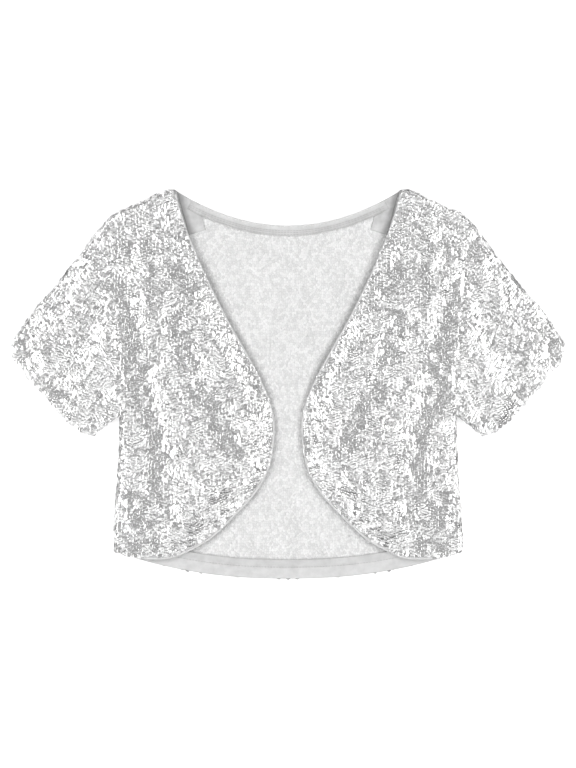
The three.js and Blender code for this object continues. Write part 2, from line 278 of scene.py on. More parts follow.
# Share of the way from hem to neck, and height of the front's edge off the table
EDGE_HEIGHTS = (
    (0.0, 9.2), (0.06, 7.8), (0.14, 5.0), (0.26, 3.6), (0.45, 3.7), (0.6, 5.2), (0.85, 7.0), (1.0, 9.1),
)
# Inner and outer face of the dressed cloth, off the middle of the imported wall
CLOTH_FACES = (-0.6, 0.1)


@dataclass(frozen=True)
class Crease:
    """Soft trough, or ridge where its height is positive, along a line of the upper layer."""

    height: float
    width: float
    line: tuple[tuple[float, float], ...]


# Main creases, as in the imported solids
MAIN_CREASES = (
    Crease(-2.3, 11, ((178, 112), (152, 14), (136, -70), (128, -132))),
    Crease(-1.6, 10, ((128, -132), (141, -172))),
    Crease(-2.1, 12, ((118, 67), (92, 4), (60, -62))),
    Crease(-1.2, 10, ((124, 130), (92, 98))),
    Crease(1.8, 11, ((146, 92), (123, -17), (92, -88), (78, -140))),
    Crease(1.3, 8, ((163, -60), (165, -150))),
    Crease(1.0, 12, ((76, 78), (44, -8), (42, -84))),
    Crease(1.2, 12, ((150, 172), (146, 118))),
    Crease(1.6, 11, ((204, 130), (232, 72), (262, 28))),
    Crease(-1.7, 10, ((192, 108), (212, 44), (246, 4))),
    Crease(1.4, 9, ((196, 36), (214, -8), (224, -32))),
    Crease(-1.3, 8, ((180, 10), (196, -20))),
)
# Smaller creases between them
FINE_CREASES = (
    Crease(-0.7, 4.0, ((160, 150), (168, 118), (166, 84))),
    Crease(0.6, 4.5, ((134, 168), (128, 140))),
    Crease(-0.6, 3.6, ((140, 60), (132, 22), (128, -12))),
    Crease(-0.8, 4.2, ((150, -40), (146, -84), (150, -120))),
    Crease(0.7, 4.0, ((110, 30), (98, -20), (82, -52))),
    Crease(-0.7, 3.8, ((100, 76), (74, 26))),
    Crease(-0.6, 4.0, ((104, -60), (92, -104), (96, -134))),
    Crease(0.6, 4.4, ((62, -96), (74, -124))),
    Crease(-0.7, 4.0, ((40, -40), (44, -78), (60, -104))),
    Crease(0.5, 3.6, ((116, -146), (124, -162))),
    Crease(-0.6, 3.8, ((220, 112), (232, 92), (236, 66))),
    Crease(0.6, 4.0, ((226, 30), (240, 14))),
    Crease(-0.7, 4.2, ((200, 84), (206, 54))),
    Crease(0.5, 3.8, ((252, 62), (268, 40))),
    Crease(-0.5, 3.4, ((206, 4), (218, -14))),
    Crease(0.5, 4.0, ((184, 66), (190, 30))),
)


@dataclass(frozen=True)
class CalmBand:
    """Stretch where the sequins lie flat and close, and their colour is darkened as painted shade, so that
    it looks greyer.
    """

    strength: float
    width: float
    line: tuple[tuple[float, float], ...]


CALM_BANDS = (
    CalmBand(0.9, 8, ((183, 114), (171, 83), (167, 51))),
    CalmBand(1.0, 15, ((167, 51), (158, 30), (156, 4), (153, -14))),
    CalmBand(1.0, 12, ((153, -14), (144, -38), (134, -67), (133, -101), (127.6, -127))),
    CalmBand(1.0, 11, ((166, -122), (158, -154), (149, -170), (134, -178))),
    CalmBand(0.8, 9, ((173, -146), (164, -172), (140, -176))),
    CalmBand(0.6, 8, ((123, -143), (127, -130))),
    CalmBand(1.0, 11, ((115, 69), (113, 51), (102, 25))),
    CalmBand(1.0, 12, ((92, -10), (79, -22), (72, -42), (62, -58), (55, -70))),
    CalmBand(0.6, 10, ((52, -80), (48, -101))),
    CalmBand(0.9, 9, ((118, 119), (102, 98))),
    CalmBand(0.7, 7, ((95, 138), (86.6, 114))),
    CalmBand(0.5, 8, ((144, 119), (142, 88))),
    CalmBand(0.6, 9, ((155, 140), (176, 138))),
    CalmBand(0.4, 8, ((176, 138), (197, 140))),
    CalmBand(0.7, 6, ((44.6, 7), (26.8, -17))),
    CalmBand(0.5, 6, ((16, -48), (20, -70))),
    CalmBand(0.6, 7, ((44.6, -122), (50, -117))),
    CalmBand(0.6, 10, ((270, 31), (281, 48))),
    CalmBand(0.6, 7, ((234, -15), (243, -8))),
    CalmBand(0.5, 7, ((203, -37), (211, -30))),
    CalmBand(0.3, 8, ((210, 42), (215, 50))),
    CalmBand(0.3, 8, ((199, 105), (205, 113))),
    CalmBand(0.6, 7, ((93, 135), (68, 83), (44, 30), (30, 0))),
    CalmBand(0.9, 12, ((152, -128), (146, -152), (134, -170))),
)


class Layers:
    """Heights of the two layers of cloth, over any place of the right half."""

    SEAM_DIP = 0.75
    SEAM_WIDTH = 2.6
    RIPPLE = 0.16
    RIPPLES = 9
    RIPPLE_SIZES = (16, 44)
    PATCHES = 0.6
    PATCH_SIZES = (8, 24)
    BAND_EDGE = 4
    SEED = 41

    def __init__(self) -> None:
        """Draws the ripples and gathers the lines that heights are measured from."""
        draw = np.random.default_rng(self.SEED)
        self.waves, self.phases = self.drawn(draw, *self.RIPPLE_SIZES)
        self.patches, self.patch_phases = self.drawn(draw, *self.PATCH_SIZES)
        self.folds = (TOP_FOLD.points[::3], SIDE_FOLD.points[::3], UNDERARM_FOLD.points[::3])
        self.creases = [(c, np.asarray(c.line, float)) for c in MAIN_CREASES + FINE_CREASES]

    def drawn(self, draw: np.random.Generator, low: float, high: float) -> tuple[Points, np.ndarray]:
        """Random plane waves.

        Args:
            draw: Source of the random numbers.
            low: Least wave length.
            high: Greatest wave length.

        Returns:
            The waves, one a column, and their phases.
        """
        angle = draw.uniform(0, math.pi, self.RIPPLES)
        length = draw.uniform(low, high, self.RIPPLES)
        waves = np.stack([np.cos(angle), np.sin(angle)]) * 2 * math.pi / length
        return waves, draw.uniform(0, 2 * math.pi, self.RIPPLES)

    def fold_distance(self, xy: Points) -> np.ndarray:
        """Distance to the nearest fold line."""
        return np.min([distance_to(line, xy) for line in self.folds], axis=0)

    @staticmethod
    def rise(distance: np.ndarray, floor: float = CUT.seam) -> np.ndarray:
        """Quarter round from a fold line to the flat of a layer."""
        d = np.minimum(distance, CUT.fold_radius)
        return np.maximum(floor, np.sqrt(np.maximum(0, d * (2 * CUT.fold_radius - d))))

    def lower(self, xy: Points) -> np.ndarray:
        """Middle of the lower layer."""
        return CUT.fold_z - self.rise(self.fold_distance(xy))

    def upper(self, xy: Points) -> np.ndarray:
        """Middle of the upper layer: turned over the folds, lofted, creased, low at the front edge.

        Args:
            xy: Places of the right half, one a row.

        Returns:
            The heights off the table.
        """
        distance = self.fold_distance(xy)
        away, share = nearest(OPENING_LINE, xy)
        shares, heights = np.array(EDGE_HEIGHTS).T
        k = np.clip(np.searchsorted(shares, share) - 1, 0, len(shares) - 2)
        step = smooth((share - shares[k]) / (shares[k + 1] - shares[k]))
        edge = heights[k] + (heights[k + 1] - heights[k]) * step
        rise = smooth(away / CUT.edge_soft)
        at_edge = (edge - CUT.fold_z) / CUT.fold_radius
        height = (at_edge + (1 - at_edge) * rise) * self.rise(distance)
        extra = CUT.loft * smooth(distance / CUT.loft_reach)
        near_fold = smooth(distance / CUT.crease_start)
        for crease, line in self.creases:
            extra += crease.height * bell(distance_to(line, xy), crease.width) * near_fold
        extra += self.RIPPLE * np.sin(xy @ self.waves + self.phases).sum(axis=1) * near_fold
        extra -= self.SEAM_DIP * bell(distance_to(ARMHOLE_LINE, xy), self.SEAM_WIDTH) * near_fold
        return CUT.fold_z + height + rise * extra

    def calm(self, xy: Points) -> np.ndarray:
        """How flat the sequins lie and how much painted shade darkens them, from 0 to 1, in the bands and in
        uneven patches of them.
        """
        found = []
        for band in CALM_BANDS:
            away = distance_to(np.asarray(band.line, float), xy) / band.width
            found.append(band.strength * np.exp(-(away**self.BAND_EDGE)))
        uneven = np.sin(xy @ self.patches + self.patch_phases).sum(axis=1) / math.sqrt(self.RIPPLES / 2)
        return np.clip(np.max(found, axis=0) * (1 + self.PATCHES * uneven), 0, 1)

    def upper_normal(self, xy: Points, step: float = 0.4) -> Points:
        """Unit normals of the upper layer.

        Args:
            xy: Places of the right half, one a row.
            step: Distance that the slope is read over.

        Returns:
            The normals.
        """
        dx, dy = np.array([step, 0.0]), np.array([0.0, step])
        slope_x = (self.upper(xy + dx) - self.upper(xy - dx)) / (2 * step)
        slope_y = (self.upper(xy + dy) - self.upper(xy - dy)) / (2 * step)
        return unit(np.stack([-slope_x, -slope_y, np.ones(len(xy))], axis=1))


def straight(start: Points, end: Points) -> Boundary:
    """A straight boundary between two points."""
    return lambda t: start + (end - start) * np.asarray(t, float)[..., None]


def joined(first: Boundary, second: Boundary, share: float) -> Boundary:
    """Two boundaries end to end.

    Args:
        first: Boundary at the start.
        second: Boundary that follows.
        share: Where the second takes over, from 0 to 1.

    Returns:
        The joined boundary.
    """

    def boundary(t: np.ndarray) -> Points:
        """The joined boundary."""
        t = np.asarray(t, float)
        low = first(np.clip(t / share, 0, 1))
        high = second(np.clip((t - share) / (1 - share), 0, 1))
        return np.where((t < share)[..., None], low, high)

    return boundary


def heading(boundary: Boundary, t: np.ndarray, reach: float = NUDGE) -> Points:
    """Direction of a boundary, read over a short stretch to each side."""
    return unit(boundary(np.minimum(1, t + reach)) - boundary(np.maximum(0, t - reach)))


def offset(boundary: Boundary, distance: float) -> Boundary:
    """A boundary moved sideways.

    Args:
        boundary: The boundary.
        distance: How far it moves to the left of its own direction.

    Returns:
        The moved boundary.
    """

    def moved(t: np.ndarray) -> Points:
        """The moved boundary."""
        t = np.asarray(t, float)
        way = heading(boundary, t)
        return boundary(t) + distance * np.stack([-way[..., 1], way[..., 0]], axis=-1)

    return moved


def shifted(boundary: Boundary, dx: float) -> Boundary:
    """A boundary moved along X."""
    return lambda t: boundary(t) + np.array([dx, 0.0])


def pinned(boundary: Boundary, start: Points, end: Points) -> Boundary:
    """A boundary whose ends are drawn to two given points.

    Args:
        boundary: The boundary.
        start: Point that it is to start at.
        end: Point that it is to end at.

    Returns:
        The boundary between them.
    """
    first, last = start - boundary(np.array(0.0)), end - boundary(np.array(1.0))

    def drawn(t: np.ndarray) -> Points:
        """The boundary with its ends drawn over."""
        t = np.asarray(t, float)[..., None]
        return boundary(t[..., 0]) + (1 - t) * first + t * last

    return drawn


@dataclass(frozen=True)
class Patch:
    """Four-sided piece of cloth in plan, between its boundaries."""

    bottom: Boundary
    top: Boundary
    left: Boundary
    right: Boundary

    def __call__(self, u: np.ndarray, v: np.ndarray) -> Points:
        """Plan points of the patch.

        Args:
            u: Places across, from 0 to 1.
            v: Places up, from 0 to 1.

        Returns:
            The points.
        """
        zero, one = np.array(0.0), np.array(1.0)
        p, q = u[..., None], v[..., None]
        blend = (1 - q) * self.bottom(u) + q * self.top(u) + (1 - p) * self.left(v) + p * self.right(v)
        low = (1 - p) * self.bottom(zero) + p * self.bottom(one)
        high = (1 - p) * self.top(zero) + p * self.top(one)
        return blend - (1 - q) * low - q * high

    def outline(self, count: int = 140) -> Points:
        """Closed outline, anticlockwise from the bottom's start."""
        t = np.linspace(0, 1, count, endpoint=False)
        sides = self.bottom(t), self.right(t), self.top(1 - t), self.left(1 - t)
        return np.concatenate(sides)


ROLL_STEPS = 9


def roll_distances() -> np.ndarray:
    """Distances from a fold line that step evenly round its quarter circle."""
    return CUT.fold_radius * (1 - np.cos(np.linspace(0, math.pi / 2, ROLL_STEPS)))


def places_to_roll(count: int, width: float) -> np.ndarray:
    """Places from 0 to 1 across a width, even but for a roll at the far end."""
    roll = 1 - roll_distances()[::-1] / width
    return np.concatenate([np.linspace(0, roll[0], count, endpoint=False), roll])


def places_between_rolls(count: int, width: float) -> np.ndarray:
    """Places from 0 to 1 with a roll at both ends."""
    roll = roll_distances() / width
    return np.concatenate([roll, np.linspace(roll[-1], 1 - roll[-1], count + 1)[1:-1], 1 - roll[::-1]])


def share_below_fold(curve: Spline, distance: float, start: float = 0.8, steps: int = 2001) -> float:
    """Share of a curve at a distance from the shoulder fold, where the curve ends.

    Args:
        curve: The curve.
        distance: Distance from the fold.
        start: Share that the search goes back to.
        steps: Places that are tried.

    Returns:
        The share.
    """
    shares = np.linspace(1, start, steps)
    away = distance_to(TOP_FOLD.points, curve(shares))
    return float(shares[np.argmax(away >= distance)])


class Shapes:
    """Plan patches of the panels, all cut from the same lines."""

    def __init__(self) -> None:
        """Cuts the patches."""
        self.shoulder = TOP_FOLD.stretch(0, SHOULDER_SHARE)
        self.neck_place = CUT.neck[0] / CUT.shoulder_x

    def outer_side(self, distance: float) -> Boundary:
        """Up the side fold, then up the armhole to a distance below the shoulder fold."""
        top = share_below_fold(ARMHOLE, distance)
        side, armhole = SIDE_FOLD.length, top * ARMHOLE.length
        return joined(SIDE_FOLD, shifted(ARMHOLE.stretch(0, top), -CUT.seam), side / (side + armhole))

    def inner_edge(self, distance: float) -> Boundary:
        """Beside the rolled edge, from hem to a distance below the shoulder fold."""
        return offset(OPENING.stretch(0, share_below_fold(OPENING, distance)), -CUT.binding_inset)

    def shoulder_seam(self, distance: float) -> Boundary:
        """Shoulder seam at a distance in front of the fold."""
        line = offset(self.shoulder, -distance)
        one = np.array(1.0)
        return pinned(line, self.inner_edge(distance)(one), self.outer_side(distance)(one))

    def front(self) -> Patch:
        """Front panel."""
        distance = CUT.seam_forward + 2 * CUT.seam
        left, right = self.inner_edge(distance), self.outer_side(distance)
        zero = np.array(0.0)
        return Patch(pinned(FRONT_HEM, left(zero), right(zero)), self.shoulder_seam(distance), left, right)

    def back(self) -> tuple[Patch, Boundary]:
        """Right half of the back panel up to the shoulder fold, and that fold."""
        right = self.outer_side(0.0)
        fold = pinned(self.shoulder, self.shoulder(np.array(0.0)), right(np.array(1.0)))
        top = joined(lambda t: neckline(t * CUT.neck[0]), fold, self.neck_place)
        centre = straight(hem(np.array(0.0)), neckline(np.array(0.0)))
        return Patch(lambda t: hem(t * CUT.hem_corner[0]), top, centre, right), fold

    def sleeve(self) -> Patch:
        """Sleeve, from armhole to cuff across and from top fold to underarm up."""
        armhole = shifted(lambda t: ARMHOLE(1 - np.asarray(t, float)), CUT.seam)
        start, end = np.array(CUT.cuff_top), np.array(CUT.cuff_under)
        ends = end - start
        out = np.array([-ends[1], ends[0]]) / np.linalg.norm(ends)

        def cuff(t: np.ndarray) -> Points:
            """The cuff, bowed outwards."""
            t = np.asarray(t, float)[..., None]
            return start + ends * t + out * CUT.cuff_bow * (1 - np.abs(2 * t - 1) ** CUT.cuff_power)

        zero, one = np.array(0.0), np.array(1.0)
        top = pinned(TOP_FOLD.stretch(SHOULDER_SHARE, 1), armhole(zero), cuff(zero))
        under = pinned(UNDERARM_FOLD, armhole(one), cuff(one))
        return Patch(top, under, armhole, cuff)


def neckline(x: np.ndarray) -> Points:
    """Back neckline over X."""
    x = np.asarray(x, float)
    return np.stack([x, CUT.neck[1] - CUT.neck_drop * (1 - (x / CUT.neck[0]) ** 2)], axis=-1)


def hem(x: np.ndarray) -> Points:
    """Back hem over X."""
    x = np.asarray(x, float)
    rise = np.abs(x / CUT.hem_corner[0]) ** CUT.hem_power
    return np.stack([x, CUT.hem_corner[1] - CUT.hem_drop * (1 - rise)], axis=-1)


LAYERS = Layers()
SHAPES = Shapes()


def with_height(xy: Points, height: np.ndarray) -> Points:
    """Plan points and their heights as points in space."""
    return np.concatenate([xy, np.reshape(height, xy.shape[:-1] + (1,))], axis=-1)


def lifted(xy: Points, heights: Callable[[Points], np.ndarray]) -> Points:
    """A grid of plan points put on a layer."""
    return with_height(xy, heights(xy.reshape(-1, 2)))


def grid_normals(grid: Points, loop: bool) -> Points:
    """Unit normals of a grid of points.

    Args:
        grid: Rows of points; missing ones are not a number.
        loop: Whether each row's last point joins its first.

    Returns:
        A normal for each point.
    """

    def neighbour(step: int, axis: int) -> Points:
        """The point a step away in the grid, or the point itself where there is none."""
        moved = np.roll(grid, -step, axis=axis)
        if not (loop and axis == 1):
            edge = [slice(None)] * 3
            edge[axis] = -1 if step > 0 else 0
            moved[tuple(edge)] = np.nan
        return np.where(np.isnan(moved), grid, moved)

    across = neighbour(1, 1) - neighbour(-1, 1)
    up = neighbour(1, 0) - neighbour(-1, 0)
    return unit(np.cross(across, up))


def linked(name: str, data: bpy.types.ID) -> Piece:
    """A new object in the scene."""
    obj = bpy.data.objects.new(name, data)
    bpy.context.scene.collection.objects.link(obj)
    return obj


def mesh_object(name: str, points: Points, faces: Sequence[Sequence[int]]) -> Piece:
    """Smooth-shaded mesh object in the scene.

    Args:
        name: Piece name.
        points: Points in millimetres.
        faces: Corner indexes of each face.

    Returns:
        The object, at the origin.
    """
    mesh = bpy.data.meshes.new(name)
    mesh.from_pydata((points * MM).tolist(), [], [list(map(int, f)) for f in faces])
    mesh.validate()
    mesh.polygons.foreach_set("use_smooth", [True] * len(mesh.polygons))
    return linked(name, mesh)


def shell(name: str, grid: Points, inner: float, outer: float, loop: bool = False) -> Piece:
    """Closed thin shell on a grid of middle points.

    Args:
        name: Piece name.
        grid: Rows of points; missing ones are not a number.
        inner: Offset of the inner face along the normal.
        outer: Offset of the outer face.
        loop: Whether each row's last point joins its first.

    Returns:
        The shell.
    """
    rows, columns = grid.shape[:2]
    normal = grid_normals(grid, loop)
    found = ~np.isnan(grid[..., 0])
    index = np.full((rows, columns), -1)
    index[found] = np.arange(found.sum())
    count = int(found.sum())
    points = np.concatenate([(grid + normal * outer)[found], (grid + normal * inner)[found]])
    if loop:
        index = np.concatenate([index, index[:, :1]], axis=1)
    a, b, c, d = index[:-1, :-1], index[:-1, 1:], index[1:, 1:], index[1:, :-1]
    cell = (a >= 0) & (b >= 0) & (c >= 0) & (d >= 0)
    faces = [q for q in np.stack([a, b, c, d], axis=-1)[cell]]
    faces += [q + count for q in np.stack([a, d, c, b], axis=-1)[cell]]
    padded = np.pad(cell, 1)
    if loop:
        padded[1:-1, 0], padded[1:-1, -1] = cell[:, -1], cell[:, 0]
    for (first, second), neighbour in (
        ((a, b), padded[:-2, 1:-1]), ((b, c), padded[1:-1, 2:]),
        ((c, d), padded[2:, 1:-1]), ((d, a), padded[1:-1, :-2]),
    ):
        edge = cell & ~neighbour
        faces += [np.array([p, p + count, q + count, q]) for p, q in zip(first[edge], second[edge])]
    return mesh_object(name, points, faces)


def mirrored(grid: Points, side: Side) -> Points:
    """A right-hand grid, or its mirror with rows turned round so that it still faces outwards."""
    if side is Side.RIGHT:
        return grid
    return (grid * side.flip)[:, ::-1]


def places_of(piece: Piece) -> Points:
    """Places of a piece's points, in metres."""
    places = np.empty(len(piece.data.vertices) * 3)
    piece.data.vertices.foreach_get("co", places)
    return places.reshape(-1, 3)


def stored(piece: Piece, name: str, values: np.ndarray) -> None:
    """Stores a number or a vector on each point of a piece."""
    kind, field = ("FLOAT", "value") if np.ndim(values) == 1 else ("FLOAT_VECTOR", "vector")
    layer = piece.data.attributes.new(name, kind, "POINT")
    layer.data.foreach_set(field, np.ascontiguousarray(values, np.float32).ravel())


def shaded_by(piece: Piece, tone: Callable[[Points], np.ndarray]) -> None:
    """Stores a painted shade on each point of a piece, worked out from its place on the right half."""
    places = places_of(piece) / MM
    stored(piece, "shaded", tone(np.stack([np.abs(places[:, 0]), places[:, 1]], axis=1)))


def triangles(piece: Piece) -> int:
    """Number of triangles of a piece."""
    return len(piece.data.loops) - 2 * len(piece.data.polygons)


def rested(piece: Piece, clear: float = 0.08) -> None:
    """Presses what would reach under the table's face flat against it."""
    places = places_of(piece)
    places[:, 2] = np.maximum(places[:, 2], clear * MM)
    piece.data.vertices.foreach_set("co", places.ravel())
    piece.data.update()


def grey(tone: float) -> tuple[float, float, float, float]:
    """A neutral colour."""
    return (tone, tone, tone, 1.0)


class Value:
    """A number in a node tree, with operators that add Math nodes."""

    def __init__(self, graph: "Graph", socket: Socket) -> None:
        """Wraps an output socket."""
        self.graph, self.socket = graph, socket

    def maths(self, operation: str, *others: object, first: float | None = None) -> "Value":
        """One Math node.

        Args:
            operation: Name of the operation.
            others: Numbers, values or sockets that follow this value.
            first: Number before this value, for a reflected operator.

        Returns:
            The result.
        """
        row = [self, *others] if first is None else [first, self]
        node = self.graph.node("ShaderNodeMath", {"operation": operation}, dict(enumerate(row)))
        return Value(self.graph, node.outputs[0])

    def __add__(self, other: "Value | float") -> "Value":
        """Sum."""
        return self.maths("ADD", other)

    def __sub__(self, other: "Value | float") -> "Value":
        """Difference."""
        return self.maths("SUBTRACT", other)

    def __rsub__(self, other: float) -> "Value":
        """Difference from a number."""
        return self.maths("SUBTRACT", first=other)

    def __mul__(self, other: "Value | float") -> "Value":
        """Product."""
        return self.maths("MULTIPLY", other)

    def __pow__(self, other: "Value | float") -> "Value":
        """Power."""
        return self.maths("POWER", other)

    def step(self, low: float, high: float) -> "Value":
        """Soft step from 0 at low to 1 at high."""
        sockets = {"Value": self, "From Min": low, "From Max": high}
        node = self.graph.node("ShaderNodeMapRange", {"interpolation_type": "SMOOTHSTEP"}, sockets)
        return Value(self.graph, node.outputs["Result"])

    __radd__, __rmul__ = __add__, __mul__


class Graph:
    """A node tree in the making."""

    def __init__(self, tree: bpy.types.NodeTree) -> None:
        """Takes the tree to build in."""
        self.tree = tree

    def node(
        self,
        kind: str,
        settings: dict[str, object] | None = None,
        sockets: dict[str | int, object] | None = None,
    ) -> bpy.types.Node:
        """Adds a node.

        Args:
            kind: Node type.
            settings: Properties, set first.
            sockets: Values or links of its inputs, by name or number.

        Returns:
            The node.
        """
        node = self.tree.nodes.new(kind)
        for name, value in (settings or {}).items():
            setattr(node, name, value)
        for key, value in (sockets or {}).items():
            if isinstance(value, Value):
                value = value.socket
            if isinstance(value, Socket):
                self.tree.links.new(value, node.inputs[key])
            else:
                node.inputs[key].default_value = value
        return node

    def value(self, kind: str, output: str | int, *args: dict) -> Value:
        """Adds a node and wraps one of its outputs."""
        return Value(self, self.node(kind, *args).outputs[output])

    def mix(self, factor: Value, low: float, high: float) -> Socket:
        """Colour between two neutral tones."""
        sockets = {0: factor, 6: grey(low), 7: grey(high)}
        return self.node("ShaderNodeMix", {"data_type": "RGBA"}, sockets).outputs[2]

    def stored(self, name: str) -> Value:
        """A number that the piece carries on its points."""
        return self.value("ShaderNodeAttribute", "Fac", {"attribute_name": name})

    def noise(self, place: Socket, scale: float, detail: float = 2.0) -> Value:
        """Cloudy noise."""
        sockets = {"Vector": place, "Scale": scale, "Detail": detail}
        return self.value("ShaderNodeTexNoise", "Fac", {}, sockets)

    def vector(self, operation: str, first: object, second: object) -> Socket:
        """One Vector Math node."""
        return self.node("ShaderNodeVectorMath", {"operation": operation}, {0: first, 1: second}).outputs[0]

    def scaled(self, vector: Socket, by: "Value | Socket") -> Socket:
        """A vector times a number."""
        return self.node("ShaderNodeVectorMath", {"operation": "SCALE"}, {0: vector, "Scale": by}).outputs[0]

    def feed(self, source: "Value | Socket", shader: bpy.types.Node, name: str) -> None:
        """Links a result to an input of the shader."""
        self.tree.links.new(source.socket if isinstance(source, Value) else source, shader.inputs[name])


class Finish:
    """Base of the finishes: one material from a Principled shader."""

    name = "finish"

    def material(self) -> bpy.types.Material:
        """The material, made once."""
        if self.name in bpy.data.materials:
            return bpy.data.materials[self.name]
        made = bpy.data.materials.new(self.name)
        made.use_nodes = True
        graph = Graph(made.node_tree)
        self.paint(graph, made.node_tree.nodes["Principled BSDF"])
        return made

    def paint(self, graph: Graph, shader: bpy.types.Node) -> None:
        """Sets the shader up."""
        raise NotImplementedError

    @staticmethod
    def place(graph: Graph) -> Socket:
        """Object coordinates, in metres."""
        return graph.node("ShaderNodeTexCoord").outputs["Object"]

    @staticmethod
    def bump(graph: Graph, shader: bpy.types.Node, height: Value, strength: float, depth: float) -> None:
        """Feeds a relief to the shader's Normal.

        Args:
            graph: The material's graph.
            shader: Its Principled shader.
            height: The relief, from about 0 to 1.
            strength: Share of it that shows.
            depth: Its depth in metres.
        """
        sockets = {"Height": height, "Strength": strength, "Distance": depth}
        graph.feed(graph.node("ShaderNodeBump", {}, sockets).outputs[0], shader, "Normal")


@dataclass(frozen=True)
class SequinFinish(Finish):
    """Mirror-bright silver film, each sequin a little different."""

    name: str = "silver_sequins"
    dark: float = 0.66
    light: float = 0.96
    metallic: float = 0.86
    roughness: float = 0.23
    gloss_range: float = 0.12
    scratch_scale: float = 1400.0
    scratches: tuple[float, float] = (0.12, 0.0002)

    def paint(self, graph: Graph, shader: bpy.types.Node) -> None:
        """Silver whose tone and gloss differ from sequin to sequin, darker with painted shade in the calm
        bands, with fine scratches.
        """
        shade = graph.stored("shade")
        graph.feed(graph.mix(shade, self.dark, self.light), shader, "Base Color")
        shader.inputs["Metallic"].default_value = self.metallic
        graph.feed(shade * self.gloss_range + (self.roughness - self.gloss_range / 2), shader, "Roughness")
        scratch = graph.noise(self.place(graph), self.scratch_scale)
        self.bump(graph, shader, scratch, *self.scratches)


@dataclass(frozen=True)
class GroundFinish(Finish):
    """Wrong side of the sequined mesh: pale net with the sequins' backs glinting through."""

    name: str = "mesh_wrong_side"
    dark: float = 0.47
    light: float = 0.92
    cell: float = 0.0022
    thread: float = 0.0009
    shade: float = 0.42
    stretch: tuple[float, float, float] = (1.0, 0.75, 1.0)
    unevenness: float = 0.85
    cloud_scale: float = 45.0
    cloud_detail: float = 3.0
    cell_share: float = 0.45
    cloud_share: float = 0.35
    rim_share: float = 0.35
    net_share: float = 0.2
    darkening: float = 0.12
    rim_edge: tuple[float, float] = (0.0, 0.12)
    bright_cells: tuple[float, float] = (0.86, 0.96)
    off_rim: tuple[float, float] = (0.1, 0.25)
    roughness: float = 0.75
    glint_gloss: float = 0.45
    glint_metal: float = 0.6
    rim_slope: tuple[float, float] = (0.0, 0.3)
    cell_height: float = 0.6
    net_height: float = 0.4
    relief: tuple[float, float] = (0.5, 0.0004)

    def paint(self, graph: Graph, shader: bpy.types.Node) -> None:
        """Net over rows of sequin backs, darkened where the piece stores painted shade."""
        place = graph.vector("MULTIPLY", self.place(graph), self.stretch)
        cells = {"Vector": place, "Scale": 1 / self.cell, "Randomness": self.unevenness}
        rim = graph.value("ShaderNodeTexVoronoi", "Distance", {"feature": "DISTANCE_TO_EDGE"}, cells)
        colour = graph.node("ShaderNodeTexVoronoi", {}, cells).outputs["Color"]
        tone = graph.value("ShaderNodeSeparateColor", 0, {}, {0: colour})
        cloud = graph.noise(place, self.cloud_scale, self.cloud_detail)
        net = graph.noise(place, 1 / self.thread)
        mix = tone * self.cell_share + cloud * self.cloud_share + rim.step(*self.rim_edge) * self.rim_share
        mix = (mix + net * self.net_share) - self.darkening
        # Painted shade that the piece stores darkens the net
        shaded = mix - graph.stored("shaded") * self.shade
        graph.feed(graph.mix(shaded, self.dark, self.light), shader, "Base Color")
        glint = tone.step(*self.bright_cells) * rim.step(*self.off_rim)
        graph.feed(self.roughness - glint * self.glint_gloss, shader, "Roughness")
        graph.feed(glint * self.glint_metal, shader, "Metallic")
        height = rim.step(*self.rim_slope) + tone * self.cell_height + net * self.net_height
        self.bump(graph, shader, height, *self.relief)


@dataclass(frozen=True)
class StripFinish(Finish):
    """Smooth matt cloth with a fine weave."""

    name: str = "plain_strip"
    dark: float = 0.48
    light: float = 0.74
    roughness: float = 0.72
    sheen: float = 0.2
    thread: float = 0.0006
    bands_per_thread: float = 0.31
    weave_sway: float = 0.6
    weave_share: float = 0.1
    weave_height: float = 0.3
    shade: float = 0.6
    cloud_scale: float = 130.0
    cloud_detail: float = 4.0
    cloud_share: float = 1.1
    cloud_height: float = 2.0
    lightening: float = 0.15
    relief: tuple[float, float] = (0.5, 0.0005)

    def paint(self, graph: Graph, shader: bpy.types.Node) -> None:
        """Fine weave under a soft sheen, darkened where the piece stores painted shade."""
        place = self.place(graph)
        scale = self.bands_per_thread / self.thread
        sockets = {"Vector": place, "Scale": scale, "Distortion": self.weave_sway}
        warp, weft = (
            graph.value("ShaderNodeTexWave", "Fac", {"bands_direction": axis}, sockets)
            for axis in ("X", "Y")
        )
        cloud = graph.noise(place, self.cloud_scale, self.cloud_detail)
        mix = cloud * self.cloud_share + warp * self.weave_share + weft * self.weave_share
        # Painted shade that the piece stores darkens the strip
        mix = mix + (self.lightening - graph.stored("shaded") * self.shade)
        graph.feed(graph.mix(mix, self.dark, self.light), shader, "Base Color")
        shader.inputs["Roughness"].default_value = self.roughness
        shader.inputs["Sheen Weight"].default_value = self.sheen
        height = warp * self.weave_height + weft * self.weave_height + cloud * self.cloud_height
        self.bump(graph, shader, height, *self.relief)


@dataclass(frozen=True)
class FloorFinish(Finish):
    """Plain white floor that stays white under the garment's soft shade."""

    name: str = "floor"
    tone: float = 0.85
    roughness: float = 0.9
    glow: float = 0.4

    def paint(self, graph: Graph, shader: bpy.types.Node) -> None:
        """Plain matt white."""
        shader.inputs["Base Color"].default_value = grey(self.tone)
        shader.inputs["Roughness"].default_value = self.roughness
        shader.inputs["Specular IOR Level"].default_value = 0.0
        shader.inputs["Emission Color"].default_value = grey(1.0)
        shader.inputs["Emission Strength"].default_value = self.glow


SEQUIN = SequinFinish()
GROUND = GroundFinish()
STRIP = StripFinish()
BINDING = StripFinish(name="rolled_satin", dark=0.60, light=0.74, roughness=0.42, sheen=0.3)
# Corner of the neck facing, darkened with painted shade
CORNER = StripFinish(name="shaded_strip", dark=0.46, light=0.80, shade=0.9)
THREAD = StripFinish(name="thread", dark=0.3, light=0.4, roughness=0.5)
FLUFF = StripFinish(name="raw_thread", dark=0.8, light=0.9, roughness=0.8)


